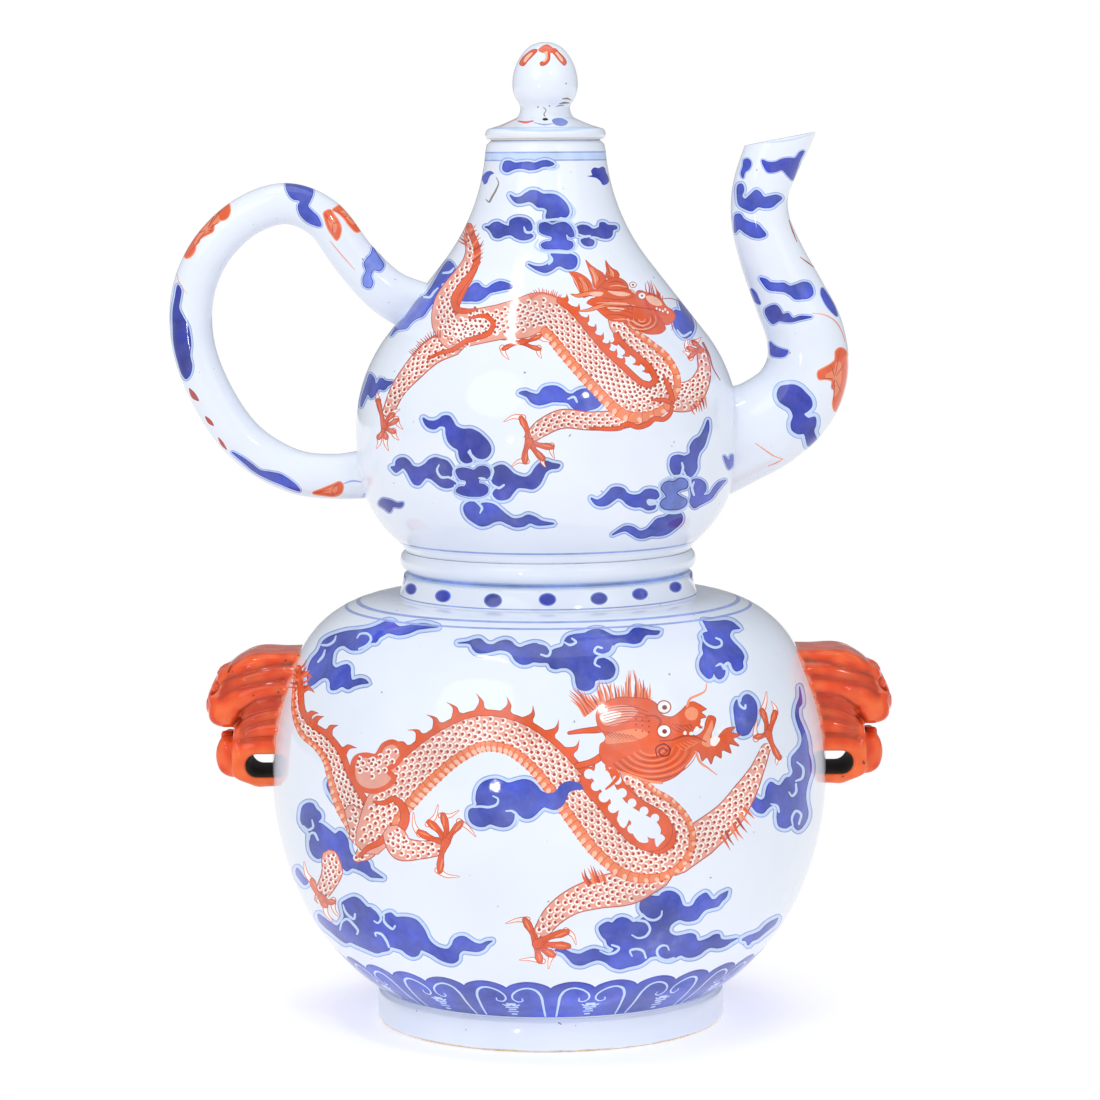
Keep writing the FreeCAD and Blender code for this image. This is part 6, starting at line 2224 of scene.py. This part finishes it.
def make_lions():
    """The two lion masks, mirror images of each other, with the hole for a ring."""
    low = arcs_through([bowl_belly, bowl_hip], (0, -1))[0]
    high = arcs_through([bowl_belly, bowl_shoulder, bowl_top], (0, 1))[0]
    bowl = np.concatenate((low[::-1], high[1:]))
    spans = [np.arange(a - lion_step * 2, b + lion_step * 3, lion_step) for a, b in lion_box]
    field = lion(spans[0][:, None, None], spans[1][None, :, None], spans[2][None, None, :], bowl)
    corners, faces = skin_of(field, [s[0] for s in spans], lion_step)
    normals = slopes(corners, bowl)
    wide = 0.8
    ahead, behind = (corners + normals * wide).T, (corners - normals * wide).T
    tone = lion_tones(corners, (lion(*ahead, bowl) + lion(*behind, bowl)) / wide)
    enamelled = enamel()
    for name, side in (("right_lion_mask", 1), ("left_lion_mask", -1)):
        mirror = np.array((side, 1, 1))
        order = faces if side > 0 else faces[:, ::-1]
        mesh = bpy.data.meshes.new(name + "_sculpted")
        mesh.from_pydata((corners * mirror / 1000).tolist(), [], order.tolist())
        mesh.polygons.foreach_set("use_smooth", [True] * len(order))
        layer_of_paint = mesh.color_attributes.new("paint", "FLOAT_COLOR", "CORNER")
        layer_of_paint.data.foreach_set("color", tone[order].reshape(-1, 4).ravel())
        mesh.normals_split_custom_set((normals * mirror)[order].reshape(-1, 3).tolist())
        obj = bpy.data.objects.new(name + "_sculpted", mesh)
        bpy.context.scene.collection.objects.link(obj)
        finished(obj, enamelled, "warmer", "mask_glaze", name)


def glaze_hidden():
    """The well and the lid's flange keep their CAD shapes and take the plain glaze."""
    for name in ("pot_heating_well", "lid_flange"):
        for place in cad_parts[name].material_slots:
            place.material = glaze_plain


make_warmer()
make_collar()
make_foot_ring()
make_pot()
make_seat_ring()
make_handle()
make_spout()
make_lid()
make_knob()
make_lions()
glaze_hidden()


# Stage: camera, lamps, floor and white surroundings

def look_from_photo():
    data = bpy.data.cameras.new("camera")
    data.sensor_width = 36.0
    data.lens = 36.0 * focal_pixels / picture_width
    data.clip_start, data.clip_end = 0.05, 20
    obj = bpy.data.objects.new("camera", data)
    bpy.context.scene.collection.objects.link(obj)
    place = Matrix.Translation((camera_aside / 1000, -camera_distance / 1000, camera_height / 1000))
    tilt = Matrix.Rotation(math.pi / 2 - camera_pitch, 4, "X")
    obj.matrix_world = place @ tilt @ Matrix.Rotation(-camera_roll, 4, "Z")
    bpy.context.scene.camera = obj


def lamp(name, place, aim, size, power, tall=None):
    data = bpy.data.lights.new(name, "AREA")
    data.shape = "ELLIPSE"
    data.size, data.size_y = size, tall or size
    data.energy = power
    obj = bpy.data.objects.new(name, data)
    bpy.context.scene.collection.objects.link(obj)
    obj.location = place
    obj.rotation_euler = (Vector(aim) - Vector(place)).to_track_quat("-Z", "Y").to_euler()
    return obj


def white_surroundings():
    """Soft light that is weaker from behind. The camera itself sees plain white."""
    world = bpy.data.worlds.new("surroundings")
    bpy.context.scene.world = world
    world.use_nodes = True
    nodes, links = world.node_tree.nodes, world.node_tree.links
    nodes.clear()
    out = nodes.new("ShaderNodeOutputWorld")
    soft = nodes.new("ShaderNodeBackground")
    soft.inputs["Color"].default_value = sky_tone
    where = nodes.new("ShaderNodeTexCoord")
    parts = nodes.new("ShaderNodeSeparateXYZ")
    links.new(where.outputs["Generated"], parts.inputs[0])
    strength = mapped(nodes, links, parts.outputs[1], (-0.3, 0.8, world_front, world_back))
    links.new(strength, soft.inputs["Strength"])
    plain = nodes.new("ShaderNodeBackground")
    plain.inputs["Color"].default_value = grey(1)
    plain.inputs["Strength"].default_value = 1.0
    path = nodes.new("ShaderNodeLightPath")
    mix = nodes.new("ShaderNodeMixShader")
    links.new(path.outputs["Is Camera Ray"], mix.inputs[0])
    links.new(soft.outputs[0], mix.inputs[1])
    links.new(plain.outputs[0], mix.inputs[2])
    links.new(mix.outputs[0], out.inputs[0])


def floor():
    """A pale floor that takes the soft shadow and turns plain white away from the foot."""
    reach = floor_reach
    corners = [(-reach, -reach, 0), (reach, -reach, 0), (reach, reach, 0), (-reach, reach, 0)]
    mesh = bpy.data.meshes.new("floor")
    mesh.from_pydata(corners, [], [(0, 1, 2, 3)])
    obj = bpy.data.objects.new("floor", mesh)
    bpy.context.scene.collection.objects.link(obj)
    material, nodes, links, body = shader("floor")
    body.inputs["Base Color"].default_value = floor_tone
    body.inputs["Roughness"].default_value = 0.8
    body.inputs["Specular IOR Level"].default_value = 0.1
    body.inputs["Emission Color"].default_value = grey(1)
    body.inputs["Emission Strength"].default_value = floor_glow
    plain = nodes.new("ShaderNodeEmission")
    where = nodes.new("ShaderNodeTexCoord")
    flat = nodes.new("ShaderNodeVectorMath")
    flat.operation = "LENGTH"
    links.new(where.outputs["Object"], flat.inputs[0])
    far = nodes.new("ShaderNodeMapRange")
    far.interpolation_type = "SMOOTHERSTEP"
    far.inputs[1].default_value, far.inputs[2].default_value = floor_white_from, floor_white_at
    links.new(flat.outputs["Value"], far.inputs[0])
    mix = nodes.new("ShaderNodeMixShader")
    links.new(far.outputs[0], mix.inputs[0])
    links.new(body.outputs[0], mix.inputs[1])
    links.new(plain.outputs[0], mix.inputs[2])
    out = [n for n in nodes if n.type == "OUTPUT_MATERIAL"][0]
    links.new(mix.outputs[0], out.inputs[0])
    mesh.materials.append(material)
    return obj


look_from_photo()
white_surroundings()
lamps = [
    lamp("left softbox", (-0.75, -1.1, 0.9), (0, 0, 0.12), 0.9, 3.0),
    lamp("right softbox", (0.85, -1.0, 0.75), (0, 0, 0.12), 0.9, 1.6),
    lamp("top softbox", (0, 0.1, 1.4), (0, 0, 0.1), 0.9, 2.4),
    lamp("upper left lamp", (-0.40, -0.30, 1.38), (0, 0, 0.17), 0.3, 1.5, 0.03),
    lamp("low front lamp", (-0.43, -1.13, 0.10), (0, 0, 0.1), 0.06, 0.5),
    lamp("front right lamp", (0.44, -0.98, 0.74), (0, 0, 0.15), 0.07, 0.7),
]
floor()
